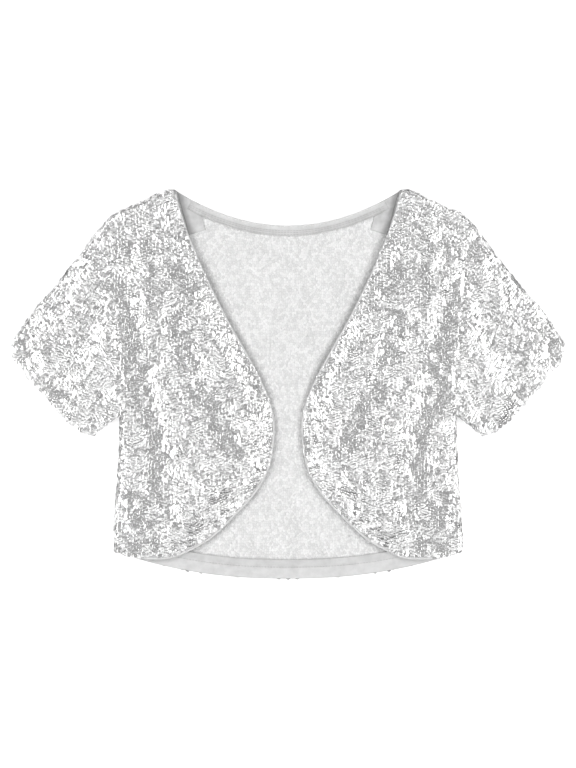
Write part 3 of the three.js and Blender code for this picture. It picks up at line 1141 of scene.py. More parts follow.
class Scatter(Enum):
    """Inputs of the trees that set small things on points, by name and kind."""

    RADIUS = ("Radius", "NodeSocketFloat")
    HOLE = ("Hole radius", "NodeSocketFloat")
    FLAT = ("Flat share", "NodeSocketFloat")
    FLAT_DISH = ("Flat dish", "NodeSocketFloat")
    DISH = ("Dish", "NodeSocketFloat")
    CORNERS = ("Corners", "NodeSocketInt")
    LEAN = ("Lean", "NodeSocketFloat")
    SPREAD = ("Spread", "NodeSocketFloat")
    RIPPLE = ("Ripple", "NodeSocketFloat")
    RIPPLE_SIZE = ("Ripple size", "NodeSocketFloat")
    CALMING = ("Calming", "NodeSocketFloat")
    # Painted shade that darkens the sequins' colour in the calm bands
    DULLING = ("Dulling", "NodeSocketFloat")
    LIMIT = ("Tilt limit", "NodeSocketFloat")
    JITTER = ("Jitter", "NodeSocketFloat")
    LENGTH = ("Length", "NodeSocketFloat")
    SEED = ("Seed", "NodeSocketInt")
    MATERIAL = ("Material", "NodeSocketMaterial")


class ScatterTree:
    """Base of the Geometry Nodes trees: instances on points that carry out and up vectors."""

    name = "scatter"
    inputs: tuple[Scatter, ...] = ()

    def __init__(self) -> None:
        """Builds the tree."""
        self.tree = bpy.data.node_groups.new(self.name, "GeometryNodeTree")
        graph = Graph(self.tree)
        face = self.tree.interface
        face.new_socket("Geometry", in_out="INPUT", socket_type="NodeSocketGeometry")
        face.new_socket("Geometry", in_out="OUTPUT", socket_type="NodeSocketGeometry")
        self.ids = {}
        for entry in self.inputs:
            label, kind = entry.value
            self.ids[entry] = face.new_socket(label, in_out="INPUT", socket_type=kind).identifier
        given = graph.node("NodeGroupInput").outputs
        realized = graph.node("GeometryNodeRealizeInstances", {}, {0: self.build(graph, given)})
        shaded = graph.node("GeometryNodeSetShadeSmooth", {}, {0: realized.outputs[0]})
        sockets = {0: shaded.outputs[0], "Material": given["Material"]}
        made = graph.node("GeometryNodeSetMaterial", {}, sockets)
        graph.node("NodeGroupOutput", {}, {0: made.outputs[0]})

    def build(self, graph: Graph, given: bpy.types.bpy_prop_collection) -> Socket:
        """Makes the instances."""
        raise NotImplementedError

    @staticmethod
    def vector(graph: Graph, name: str) -> Socket:
        """A vector that the points carry."""
        node = graph.node("GeometryNodeInputNamedAttribute", {"data_type": "FLOAT_VECTOR"}, {"Name": name})
        return node.outputs["Attribute"]

    def turned(
        self, graph: Graph, names: tuple[str, str], axis: str, tilt: Socket
    ) -> Socket:
        """Rotation that sets a thing on its point and tilts it there.

        Args:
            graph: The tree's graph.
            names: Vectors of the point that its Z and its second axis follow.
            axis: The second axis, X or Y.
            tilt: Turns about its own axes, as a vector.

        Returns:
            The rotation.
        """
        first, second = (self.vector(graph, name) for name in names)
        settings = {"primary_axis": "Z", "secondary_axis": axis}
        sockets = {"Primary Axis": first, "Secondary Axis": second}
        upright = graph.node("FunctionNodeAxesToRotation", settings, sockets).outputs[0]
        tilted = graph.node("FunctionNodeEulerToRotation", {}, {0: tilt}).outputs[0]
        return graph.node(
            "FunctionNodeRotateRotation", {"rotation_space": "LOCAL"}, {0: upright, 1: tilted}
        ).outputs[0]

    @staticmethod
    def set_on(graph: Graph, points: object, thing: object, rotation: object) -> Socket:
        """Sets a thing on each point."""
        sockets = {"Points": points, "Instance": thing, "Rotation": rotation}
        return graph.node("GeometryNodeInstanceOnPoints", {}, sockets).outputs[0]

    @staticmethod
    def draw(
        graph: Graph, low: object, high: object, seed: Socket, turn: int
    ) -> Socket:
        """A random vector for each point.

        Args:
            graph: The tree's graph.
            low: Least vector.
            high: Greatest vector.
            seed: The tree's seed.
            turn: Number of this draw, so that each draw is its own.

        Returns:
            The vectors.
        """
        sockets = {0: low, 1: high, "Seed": Value(graph, seed) + float(turn)}
        return graph.node("FunctionNodeRandomValue", {"data_type": "FLOAT_VECTOR"}, sockets).outputs[0]

    def make(self, name: str, seeds: Piece, values: dict[Scatter, object]) -> Piece:
        """Runs the tree on seed points and keeps the plain mesh.

        Args:
            name: Piece name.
            seeds: Object whose points carry the vectors; it is used up.
            values: Inputs of the tree.

        Returns:
            The finished piece.
        """
        modifier = seeds.modifiers.new(self.name, "NODES")
        modifier.node_group = self.tree
        for entry, value in values.items():
            modifier[self.ids[entry]] = value
        evaluated = seeds.evaluated_get(bpy.context.evaluated_depsgraph_get())
        mesh = bpy.data.meshes.new_from_object(evaluated)
        seeds.modifiers.remove(modifier)
        bpy.data.objects.remove(seeds)
        mesh.name = name
        return linked(name, mesh)


class SequinTree(ScatterTree):
    """Shallow dished discs with a centre hole, leaning on each other in strands."""

    name = "sequin_strands"
    inputs = (
        Scatter.RADIUS, Scatter.HOLE, Scatter.FLAT, Scatter.FLAT_DISH, Scatter.DISH, Scatter.CORNERS,
        Scatter.LEAN, Scatter.SPREAD, Scatter.RIPPLE, Scatter.RIPPLE_SIZE, Scatter.CALMING, Scatter.DULLING,
        Scatter.LIMIT, Scatter.JITTER, Scatter.SEED, Scatter.MATERIAL,
    )
    ripple_seed = 7.3
    ripple_detail = 1.5
    calm_spread = 0.4
    jitter_up = 0.25

    def build(self, graph: Graph, given: bpy.types.bpy_prop_collection) -> Socket:
        """Sets a disc on each point: leaning along its strand, rippled in patches, turned at random."""
        seed = given["Seed"]
        size = Value(graph, given["Ripple size"]).maths("DIVIDE", first=1.0)
        patches = graph.node("ShaderNodeTexNoise", {"noise_dimensions": "4D"}, {
            "W": Value(graph, seed) * self.ripple_seed, "Scale": size, "Detail": self.ripple_detail,
        })
        centred = graph.vector("SUBTRACT", patches.outputs["Color"], (0.5, 0.5, 0.5))
        calm = graph.value("GeometryNodeInputNamedAttribute", "Attribute", {"data_type": "FLOAT"}, {
            "Name": "calm",
        })
        lively = 1.0 - calm * given["Calming"]
        ripple = graph.scaled(centred, lively * given["Ripple"])
        turns = self.draw(graph, (-1, -1, 0), (1, 1, 0), seed, 0)
        held = lively * (1 - self.calm_spread) + self.calm_spread
        spread = graph.scaled(turns, held * given["Spread"])
        lean = graph.node("ShaderNodeCombineXYZ", {}, {"X": lively * given["Lean"]}).outputs[0]
        tilt = graph.vector("ADD", graph.vector("ADD", spread, ripple), lean)
        flat = graph.vector("MULTIPLY", tilt, (1, 1, 0))
        amount = graph.value("ShaderNodeVectorMath", "Value", {"operation": "LENGTH"}, {0: flat})
        share = amount.maths("DIVIDE", given["Tilt limit"])
        limited = graph.scaled(flat, (share * share + 1.0) ** -0.5)
        low, high = (-1, -1, -self.jitter_up), (1, 1, self.jitter_up)
        shift = graph.scaled(self.draw(graph, low, high, seed, 1), given["Jitter"])
        moved = graph.node("GeometryNodeSetPosition", {}, {0: given["Geometry"], "Offset": shift}).outputs[0]
        rotation = self.turned(graph, ("out", "up"), "Y", limited)
        discs = self.set_on(graph, moved, self.disc(graph, given), rotation)
        shade = graph.value("FunctionNodeRandomValue", 1, {"data_type": "FLOAT"}, {"Seed": seed})
        # Painted shade: each sequin's random tone is darkened in the calm bands
        tone_with_band_shade = shade * (1.0 - calm * given["Dulling"])
        kind = {"data_type": "FLOAT", "domain": "INSTANCE"}
        stored = graph.node("GeometryNodeStoreNamedAttribute", kind, {
            0: discs, "Name": "shade", "Value": tone_with_band_shade,
        })
        return stored.outputs[0]

    @staticmethod
    def disc(graph: Graph, given: bpy.types.bpy_prop_collection) -> Socket:
        """One sequin: a flat ring round its hole, and a rim turned down round that."""
        seam = Value(graph, given["Radius"]) * given["Flat share"]
        bands = (
            (given["Hole radius"], seam, given["Flat dish"]),
            (seam, given["Radius"], given["Dish"]),
        )
        rings = [
            graph.node("GeometryNodeMeshCone", {"fill_type": "NONE"}, {
                "Vertices": given["Corners"], "Radius Top": top, "Radius Bottom": bottom, "Depth": depth,
            }).outputs["Mesh"]
            for top, bottom, depth in bands
        ]
        height = graph.node("ShaderNodeCombineXYZ", {}, {"Z": given["Dish"]}).outputs[0]
        raised = graph.node("GeometryNodeTransform", {}, {0: rings[0], "Translation": height}).outputs[0]
        both = graph.node("GeometryNodeJoinGeometry")
        for part in (raised, rings[1]):
            graph.tree.links.new(part, both.inputs[0])
        return both.outputs[0]


class StitchTree(ScatterTree):
    """Short thread stitches along a line."""

    name = "stitch_line"
    inputs = (Scatter.RADIUS, Scatter.LENGTH, Scatter.SPREAD, Scatter.SEED, Scatter.MATERIAL)
    corners = 6

    def build(self, graph: Graph, given: bpy.types.bpy_prop_collection) -> Socket:
        """Lays a rod along each point's up vector."""
        rod = graph.node("GeometryNodeMeshCylinder", {"fill_type": "NGON"}, {
            "Vertices": self.corners, "Radius": given["Radius"], "Depth": given["Length"],
        })
        sway = graph.scaled(self.draw(graph, (-1, -1, 0), (1, 1, 0), given["Seed"], 0), given["Spread"])
        rotation = self.turned(graph, ("up", "out"), "X", sway)
        return self.set_on(graph, given["Geometry"], rod.outputs["Mesh"], rotation)


def seed_object(name: str, points: Points, **carried: np.ndarray) -> Piece:
    """Loose points for a scatter tree, with the vectors and numbers that they carry."""
    obj = mesh_object(name, points, [])
    for label, values in carried.items():
        stored(obj, label, values)
    return obj


def finished(piece: Piece, finish: Finish) -> Piece:
    """Gives a piece its material and body."""
    piece.data.materials.clear()
    piece.data.materials.append(finish.material())
    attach(piece, "root")
    LOG.info("%s: %d triangles", piece.name, triangles(piece))
    return piece


@dataclass(frozen=True)
class SequinCloth:
    """How the sequins are sewn on, in millimetres and radians."""

    radius: float = 2.9
    hole: float = 0.5
    flat: float = 0.78
    flat_dish: float = 0.08
    dish: float = 0.3
    strand: float = 3.2
    pitch: float = 2.6
    seat: float = 0.75
    lean: float = 0.22
    spread: float = 0.22
    ripple: float = 1.9
    ripple_size: float = 15.0
    calming: float = 0.92
    # Share of painted shade that darkens the sequins' colour in the calm bands
    dulling: float = 0.7
    limit: float = 0.7
    jitter: float = 0.55
    corners: int = 8

    def values(self, seed: int) -> dict[Scatter, object]:
        """Inputs of the sequin tree."""
        return {
            Scatter.RADIUS: self.radius * MM, Scatter.HOLE: self.hole * MM, Scatter.DISH: self.dish * MM,
            Scatter.FLAT: self.flat, Scatter.FLAT_DISH: self.flat_dish * MM,
            Scatter.CORNERS: self.corners, Scatter.LEAN: self.lean, Scatter.SPREAD: self.spread,
            Scatter.RIPPLE: self.ripple, Scatter.RIPPLE_SIZE: self.ripple_size * MM,
            Scatter.CALMING: self.calming, Scatter.DULLING: self.dulling, Scatter.LIMIT: self.limit,
            Scatter.JITTER: self.jitter * MM, Scatter.SEED: seed, Scatter.MATERIAL: SEQUIN.material(),
        }

    def lattice(self, outline: Points, grain: float) -> Points:
        """Strand points inside an outline.

        Args:
            outline: Closed plan outline.
            grain: Direction of the strands, in radians from +Y towards +X.

        Returns:
            Plan points, staggered from strand to strand.
        """
        along = np.array([math.sin(grain), math.cos(grain)])
        across = np.array([along[1], -along[0]])
        local = outline @ np.stack([across, along], axis=1)
        low, high = local.min(axis=0), local.max(axis=0)
        columns = np.arange(math.floor(low[0] / self.strand), math.ceil(high[0] / self.strand) + 1)
        rows = np.arange(math.floor(low[1] / self.pitch), math.ceil(high[1] / self.pitch) + 1)
        i, j = np.meshgrid(columns, rows)
        across_by, along_by = i * self.strand, (j + 0.5 * (i % 2)) * self.pitch
        xy = across_by.reshape(-1, 1) * across + along_by.reshape(-1, 1) * along
        return xy[inside(outline, xy)]


TOP_CLOTH = SequinCloth()
FOLD_CLOTH = SequinCloth(seat=0.3, lean=0.1, spread=0.15, ripple=1.2, jitter=0.35)
UNDER_CLOTH = SequinCloth(
    flat_dish=0.02, dish=0.05, strand=4.8, pitch=3.9, seat=0.42, lean=0.02, spread=0.02, ripple=0.03,
    jitter=0.4, corners=7,
)


# Clearance of the upper sequins from a fold, and slopes of the rows round it, in degrees
FOLD_CLEAR = 3.5
FOLD_ROWS = (-52.0, -22.0, 8.0, 38.0, 63.0)


def sewn(
    tree: SequinTree, side: Side, seed: int, stretches: Sequence[tuple[str, SequinCloth, Seeds]]
) -> list[Piece]:
    """Sews sequins on stretches of cloth.

    Args:
        tree: The sequin tree.
        side: Half of the garment; the seeds are given for the right half.
        seed: Seed of the first stretch, from which the others count on.
        stretches: Name, cloth and seeds of each.

    Returns:
        The pieces.
    """
    pieces = []
    for k, (word, cloth, (points, out, up)) in enumerate(stretches):
        name = f"{word}_{side.word}"
        seats = (points + out * cloth.seat) * side.flip
        calm = LAYERS.calm(points[:, :2])
        seeds = seed_object(f"{name}_seeds", seats, out=out * side.flip, up=up * side.flip, calm=calm)
        piece = tree.make(name, seeds, cloth.values(seed + k))
        rested(piece)
        pieces.append(finished(piece, SEQUIN))
    return pieces


def strands(xy: Points, height: np.ndarray, out: Points, grain: float) -> Seeds:
    """Seeds on plan points, with all strands in one direction."""
    return with_height(xy, height), out, repeated((math.sin(grain), math.cos(grain), 0.0), len(xy))


def upper_strands(outline: Points, grain: float) -> Seeds:
    """Seeds of the sequins on the upper layer.

    Args:
        outline: Closed plan outline of the stretch.
        grain: Direction of the strands, in radians from +Y towards +X.

    Returns:
        The seeds.
    """
    xy = TOP_CLOTH.lattice(outline, grain)
    xy = xy[LAYERS.fold_distance(xy) > FOLD_CLEAR]
    return strands(xy, LAYERS.upper(xy), LAYERS.upper_normal(xy), grain)


def under_strands(outline: Points, grain: float) -> Seeds:
    """Seeds of the sequins that the garment rests on.

    Args:
        outline: Closed plan outline of the stretch.
        grain: Direction of the strands, in radians from +Y towards +X.

    Returns:
        The seeds.
    """
    xy = UNDER_CLOTH.lattice(outline, grain)
    xy = xy[LAYERS.fold_distance(xy) > CUT.fold_radius]
    return strands(xy, np.full(len(xy), CUT.wall / 2), repeated(DOWN, len(xy)), grain)


def fold_strands(curve: Boundary, length: float) -> Seeds:
    """Seeds of the sequins round a fold line.

    Args:
        curve: The fold line.
        length: Its length.

    Returns:
        The seeds.
    """
    count = int(length / FOLD_CLOTH.pitch)
    radius = CUT.fold_radius
    points, outs, ups = [], [], []
    for k, angle in enumerate(np.radians(FOLD_ROWS)):
        t = (np.arange(count) + 0.5 + 0.5 * (k % 2)) / (count + 1)
        way = heading(curve, t, 2 * NUDGE)
        side = np.stack([way[:, 1], -way[:, 0]], axis=1)
        plan = curve(t) - side * radius * (1 - math.cos(angle))
        points.append(with_height(plan, np.full(count, CUT.fold_z + radius * math.sin(angle))))
        outs.append(with_height(side * math.cos(angle), np.full(count, math.sin(angle))))
        ups.append(with_height(way, np.zeros(count)))
    return np.concatenate(points), np.concatenate(outs), np.concatenate(ups)


def kept(seeds: Seeds, clear: np.ndarray) -> Seeds:
    """The seeds that are clear of something."""
    points, out, up = seeds
    return points[clear], out[clear], up[clear]


def cloth_on(grid: Points, name: str, node: str, loop: bool = False) -> Piece:
    """Cloth of a panel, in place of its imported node.

    Args:
        grid: Middle points; missing ones are not a number.
        name: Piece name.
        node: Node that it stands for.
        loop: Whether it is a tube.

    Returns:
        The finished piece.
    """
    cloth = finished(shell(name, grid, *CLOTH_FACES, loop), GROUND)
    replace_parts(cloth, node)
    return cloth


@dataclass
class BackPanel:
    """Back: one panel, wrapped over the shoulder folds to the forward seams."""

    columns: int = 58
    rows: int = 112
    wrap_rows: int = 4
    strip_steps: int = 60
    # Reach of the painted shadow beside the fronts' edges, and its strength along Y
    edge_shadow_reach: float = 5.0
    edge_shadow_strength: tuple[tuple[float, float], ...] = (
        (-120.0, 0.6), (-40.0, 0.35), (10.0, 1.0), (105.0, 1.0), (145.0, 0.3), (178.0, 1.0),
    )
    flat: tuple[float, float] = (0.372, 0.425)
    area: float = 0.141
    neck_clear: float = 3.6
    hem_clear: tuple[float, float] = (0.7, 3.0)
    edge_steps: int = 200
    hem_seed: int = 8
    seed: int = 11

    def edge_shadow(self, xy: Points) -> np.ndarray:
        """Painted shadow that the fronts' edges cast on the back, from 0 to 1."""
        strength = np.interp(xy[:, 1], *np.array(self.edge_shadow_strength).T)
        return strength * bell(distance_to(OPENING_LINE, xy), self.edge_shadow_reach)

    def grid(self) -> Points:
        """Middle points from hem to neckline and shoulder fold, then over the fold."""
        patch, fold = SHAPES.back()
        seam = SHAPES.shoulder_seam(CUT.seam_forward)
        u = places_to_roll(self.columns, CUT.hem_corner[0])
        neck = int(np.argmin(np.abs(u - SHAPES.neck_place)))
        u[neck] = SHAPES.neck_place
        v = places_to_roll(self.rows, CUT.neck[1] - CUT.hem_corner[1])
        flat = lifted(patch(*np.meshgrid(u, v)), LAYERS.lower)
        flat[-1, neck:, 2] = CUT.fold_z
        t = np.clip((u[neck:] - u[neck]) / (1 - u[neck]), 0, 1)
        reach = np.linspace(CUT.fold_radius, CUT.seam_forward, self.wrap_rows + 1)
        steps = np.concatenate([roll_distances()[1:], reach[1:]]) / CUT.seam_forward
        wrapped = np.full((len(steps), len(u), 3), np.nan)
        for row, step in zip(wrapped, steps):
            row[neck:] = lifted(fold(t) * (1 - step) + seam(t) * step, LAYERS.upper)
        half = np.concatenate([flat, wrapped])
        other = (half * Side.LEFT.flip)[:, :0:-1]
        return np.concatenate([other, half], axis=1)

    def outer_seeds(self, outline: Points) -> Seeds:
        """Seeds of the outer side's sequins: none shows past the neckline, and few at the hem."""
        seeds = under_strands(outline, 0.0)
        xy = seeds[0][:, :2]
        neck = neckline(np.linspace(0, CUT.neck[0], self.edge_steps))
        low = hem(np.linspace(0, CUT.hem_corner[0], self.edge_steps))
        least = np.random.default_rng(self.hem_seed).uniform(*self.hem_clear, len(xy))
        return kept(seeds, (distance_to(neck, xy) > self.neck_clear) & (distance_to(low, xy) > least))

    def build(self, tree: SequinTree) -> list[Piece]:
        """Makes the cloth and its sequins."""
        cloth = cloth_on(self.grid(), "back_cloth", "back")
        # Painted shadow of the fronts' edges, stored on the back cloth's points
        shaded_by(cloth, self.edge_shadow)
        patch, fold = SHAPES.back()
        t = np.linspace(0, 1, self.strip_steps)
        strip = np.concatenate([fold(t), SHAPES.shoulder_seam(CUT.seam_forward)(t)[::-1]])
        stretches = (
            ("back_shoulder_sequins", TOP_CLOTH, upper_strands(strip, 0.0)),
            ("back_under_sequins", UNDER_CLOTH, self.outer_seeds(patch.outline())),
        )
        sequins = [piece for side in Side for piece in sewn(tree, side, self.seed, stretches)]
        return [cloth, *sequins]


@dataclass
class FrontPanel:
    """One front, from the forward shoulder seam to the rounded lower edge."""

    side: Side
    columns: int = 56
    rows: int = 130
    flat: tuple[float, float] = (0.175, 0.385)
    area: float = 0.0467
    edge_gap: float = 1.2
    spills: tuple[float, ...] = (8.0, -14.0, -33.0, -72.0, -98.0)
    spill_length: float = 4.0
    spill_reach: float = 2.6
    spill_top: tuple[float, float, float] = (96.0, 108.0, 0.6)
    seed: int = 21

    def grid(self) -> Points:
        """Middle points from the opening to the side, hem to shoulder seam."""
        patch = SHAPES.front()
        rows = []
        for v in np.linspace(0, 1, self.rows):
            ends = patch(np.array([0.0, 1.0]), np.array([v, v]))
            u = places_to_roll(self.columns, float(np.linalg.norm(ends[1] - ends[0])))
            rows.append(patch(u, np.full(len(u), v)))
        return lifted(np.array(rows), LAYERS.upper)

    def clear_of_edge(self, xy: Points) -> np.ndarray:
        """Which sequins are clear of the rolled edge, or spill over it where a few do."""
        spill = bell(xy[:, 1:2] - np.array(self.spills), self.spill_length).max(axis=1)
        start, end, most = self.spill_top
        spill = np.maximum(spill, most * smooth((xy[:, 1] - start) / (end - start)))
        return distance_to(OPENING_LINE, xy) > CUT.binding_inset + self.edge_gap - spill * self.spill_reach

    def build(self, tree: SequinTree, edge: Piece) -> list[Piece]:
        word = self.side.word
        cloth = cloth_on(mirrored(self.grid(), self.side), f"front_cloth_{word}", f"front_{word}")
        seeds = upper_strands(SHAPES.front().outline(), 0.0)
        shoulder = TOP_FOLD.stretch(SHOULDER_SHARE, 0)
        sequins = sewn(tree, self.side, self.seed, (
            ("front_sequins", TOP_CLOTH, kept(seeds, self.clear_of_edge(seeds[0][:, :2]))),
            ("side_sequins", FOLD_CLOTH, fold_strands(SIDE_FOLD, SIDE_FOLD.length)),
            ("shoulder_sequins", FOLD_CLOTH, fold_strands(shoulder, SHOULDER_SHARE * TOP_FOLD.length)),
        ))
        trim = [edge, *sequins]
        return [cloth, *trim]


@dataclass
class Sleeve:
    """Short sleeve: one panel closed at the underarm, lying flattened."""

    side: Side
    columns: int = 40
    rings: int = 44
    grain: float = math.radians(-38.0)
    flat: tuple[float, float] = (0.43, 0.15)
    area: float = 0.0312
    seed: int = 31

    def grid(self) -> Points:
        """Middle points of the rings, from armhole to cuff, round both layers."""
        patch = SHAPES.sleeve()
        rings = []
        for s in np.linspace(0, 1, self.rings):
            ends = patch(np.array([s, s]), np.array([0.0, 1.0]))
            v = places_between_rolls(self.columns, float(np.linalg.norm(ends[1] - ends[0])))
            xy = patch(np.full(len(v), s), v)
            upper, lower = lifted(xy, LAYERS.upper), lifted(xy, LAYERS.lower)
            upper[[0, -1], 2] = CUT.fold_z
            rings.append(np.concatenate([upper, lower[-2:0:-1]]))
        return np.array(rings)

    def build(self, tree: SequinTree) -> list[Piece]:
        """Makes the cloth and its sequins."""
        word = self.side.word
        grid = mirrored(self.grid(), self.side)[::-1]
        cloth = cloth_on(grid, f"sleeve_cloth_{word}", f"sleeve_{word}", loop=True)
        outline = SHAPES.sleeve().outline()
        top, length = TOP_FOLD.stretch(1, SHOULDER_SHARE), (1 - SHOULDER_SHARE) * TOP_FOLD.length
        sequins = sewn(tree, self.side, self.seed, (
            ("sleeve_sequins", TOP_CLOTH, upper_strands(outline, self.grain)),
            ("sleeve_under_sequins", UNDER_CLOTH, under_strands(outline, self.grain)),
            ("sleeve_top_sequins", FOLD_CLOTH, fold_strands(top, length)),
            ("underarm_sequins", FOLD_CLOTH, fold_strands(UNDERARM_FOLD, UNDERARM_FOLD.length)),
        ))
        return [cloth, *sequins]


@dataclass
class Binding:
    """Rolled edge along one front opening, from the hem's start to the neck."""

    side: Side
    steps: int = 420
    corners: int = 14
    twist: float = 0.09
    twist_length: float = 3.4

    def build(self) -> Piece:
        """Sweeps a round section along the edge, with the small swells of a rolled seam."""
        share = np.linspace(0, CUT.binding_top, self.steps)
        plan = offset(OPENING, -CUT.binding_radius)(share)
        path = with_height(plan, LAYERS.upper(plan))
        way = unit(np.gradient(path, axis=0))
        side = unit(np.cross(way, UP))
        up = np.cross(side, way)
        angle = np.linspace(0, 2 * math.pi, self.corners, endpoint=False)
        swell = 1 + self.twist * np.sin(share * OPENING.length * 2 * math.pi / self.twist_length)
        radius = CUT.binding_radius * swell[:, None, None]
        ring = np.cos(angle)[None, :, None] * side[:, None] + np.sin(angle)[None, :, None] * up[:, None]
        points = mirrored(path[:, None] + ring * radius, self.side).reshape(-1, 3)
        n, last = self.corners, self.steps - 1
        faces = [
            [j * n + i, j * n + (i + 1) % n, (j + 1) * n + (i + 1) % n, (j + 1) * n + i]
            for j in range(last) for i in range(n)
        ]
        faces += [list(range(n - 1, -1, -1)), [last * n + i for i in range(n)]]
        piece = mesh_object(f"front_edge_{self.side.word}", points, faces)
        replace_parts(finished(piece, BINDING), f"front_binding_{self.side.word}")
        return piece


@dataclass(frozen=True)
class Thread:
    """Short lengths of thread, in millimetres and radians."""

    radius: float
    length: float
    spread: float
    seed: int
    finish: StripFinish = THREAD

    def lay(
        self, tree: StitchTree, name: str, points: Points, way: Points, side: Side = Side.RIGHT
    ) -> Piece:
        """Lays one thread on each point.

        Args:
            tree: The stitch tree.
            name: Piece name.
            points: Middles of the threads, on the right half.
            way: Their directions.
            side: Half of the garment that they lie on.

        Returns:
            The finished piece.
        """
        out = repeated(UP, len(points))
        seeds = seed_object(f"{name}_seeds", points * side.flip, out=out, up=way * side.flip)
        piece = tree.make(name, seeds, {
            Scatter.RADIUS: self.radius * MM, Scatter.LENGTH: self.length * MM, Scatter.SPREAD: self.spread,
            Scatter.SEED: self.seed, Scatter.MATERIAL: self.finish.material(),
        })
        return finished(piece, self.finish)


STITCH = Thread(0.2, 2.3, 0.05, 5)
END_STITCH = Thread(0.2, 2.2, 0.08, 7)
RAW_END = Thread(0.14, 2.4, 0.15, 9, FLUFF)


@dataclass
class Facing:
    """Plain strip turned inside along the back's neckline or hem, with its stitching."""

    name: str
    edge: Boundary
    depth: float
    end: float
    flat: tuple[float, float]
    stitch_rows: tuple[float, ...]
    inward: float
    steps: int = 220
    across: int = 12
    start: float = 0.3
    gap: float = 0.15
    lift: float = 0.25
    under_face: float = 0.15
    over_face: float = 0.25
    swell: float = 0.22
    swell_waves: tuple[float, float] = (0.21, 0.083)
    stitch_gap: float = 0.8
    stitch_margin: float = 2.0
    stitch_sunk: float = 0.12
    stitch_dip: float = 0.3
    dip_width: float = 0.7
    shade_from: float = 3.0
    shade_to: float = 6.0
    shade_middle: float = 0.1
    shade_ends: float = 0.6
    shade_spread: float = 45.0
    end_fade: float = 0.0
    end_sink: float = 1.05
    end_shade: float = 0.5
    raw_ends: int = 0
    raw_reach: tuple[float, float] = (0.2, 1.4)
    raw_sunk: float = 0.3
    raw_swing: float = 1.3
    raw_seed: int = 3

    def shade(self, xy: Points) -> np.ndarray:
        """Shade across the strip, where its layers are sewn down, and stronger towards its ends."""
        edge = self.edge(np.linspace(0, self.end, 200))
        across = smooth((distance_to(edge, xy) - self.shade_from) / (self.shade_to - self.shade_from))
        outward = smooth(np.abs(xy[:, 0]) / self.shade_spread)
        shade = across * (self.shade_middle + (self.shade_ends - self.shade_middle) * outward)
        return shade + (self.end_shade - shade) * self.fade(xy[:, 0])

    def fade(self, x: np.ndarray) -> np.ndarray:
        """How far the strip has run into its end pieces, from 0 to 1."""
        if not self.end_fade:
            return np.zeros_like(x)
        return smooth((np.abs(x) - self.end + self.end_fade) / self.end_fade)

    def points(self, x: np.ndarray, away: np.ndarray) -> Points:
        """Plan points of the strip at X and a distance in from the edge."""
        slope = (self.edge(x + 1)[..., 1] - self.edge(x - 1)[..., 1]) / 2
        way = unit(np.stack([-slope, np.ones_like(slope)], axis=-1)) * self.inward
        return self.edge(x) + way * away[..., None]

    def height(self, x: np.ndarray, away: np.ndarray) -> np.ndarray:
        """Middle height: it lies on the back, swelling a little between the stitch rows."""
        base = CUT.wall + self.gap + CUT.facing_wall / 2 + self.lift - self.end_sink * self.fade(x)
        long, short = self.swell_waves
        waves = np.sin(x * long) * np.sin(x * short + 1.0) * self.swell
        rows = np.min([np.abs(away - row) for row in self.stitch_rows], axis=0)
        return base + waves * smooth(away / self.depth) - self.stitch_dip * bell(rows, self.dip_width)

    def build(self, tree: StitchTree, ends: Sequence[Piece] = ()) -> list[Piece]:
        """Args:
            tree: The stitch tree.
            ends: Pieces that carry the strip on past its ends.

        Returns:
            All the pieces.
        """
        x, away = np.meshgrid(
            np.linspace(-self.end, self.end, self.steps), np.linspace(self.start, self.depth, self.across)
        )
        grid = with_height(self.points(x, away), self.height(x, away))
        if self.inward < 0:
            grid = grid[::-1]
        half = CUT.facing_wall / 2
        strip = shell(f"{self.name}_cloth", grid, self.under_face - half, half - self.over_face)
        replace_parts(finished(strip, STRIP), self.name)
        shaded_by(strip, self.shade)
        reach, pitch = self.end - self.stitch_margin, STITCH.length + self.stitch_gap
        xs, rows = np.meshgrid(np.arange(-reach, reach, pitch), self.stitch_rows)
        xs, rows = xs.ravel(), rows.ravel()
        seats = with_height(self.points(xs, rows), self.height(xs, rows) + half - self.stitch_sunk)
        ahead = unit(with_height(self.points(xs + 0.5, rows), seats[:, 2]) - seats)
        trim = [STITCH.lay(tree, f"{self.name}_stitches", seats, ahead), *ends]
        if self.raw_ends:
            trim.append(self.raw_edge(tree))
        return [strip, *trim]

    def raw_edge(self, tree: StitchTree) -> Piece:
        """Short light thread ends that stand out along the strip's edge."""
        draw = np.random.default_rng(self.raw_seed)
        xs = np.sort(draw.uniform(-self.end, self.end, self.raw_ends))
        away = draw.uniform(*self.raw_reach, self.raw_ends)
        top = CUT.facing_wall / 2 - self.raw_sunk
        seats = with_height(self.points(xs, away), self.height(xs, away) + top)
        angle = draw.uniform(-self.raw_swing, self.raw_swing, self.raw_ends)
        way = np.stack([np.sin(angle), np.cos(angle), np.zeros(self.raw_ends)], axis=1)
        return RAW_END.lay(tree, f"{self.name}_raw_edge", seats, way)


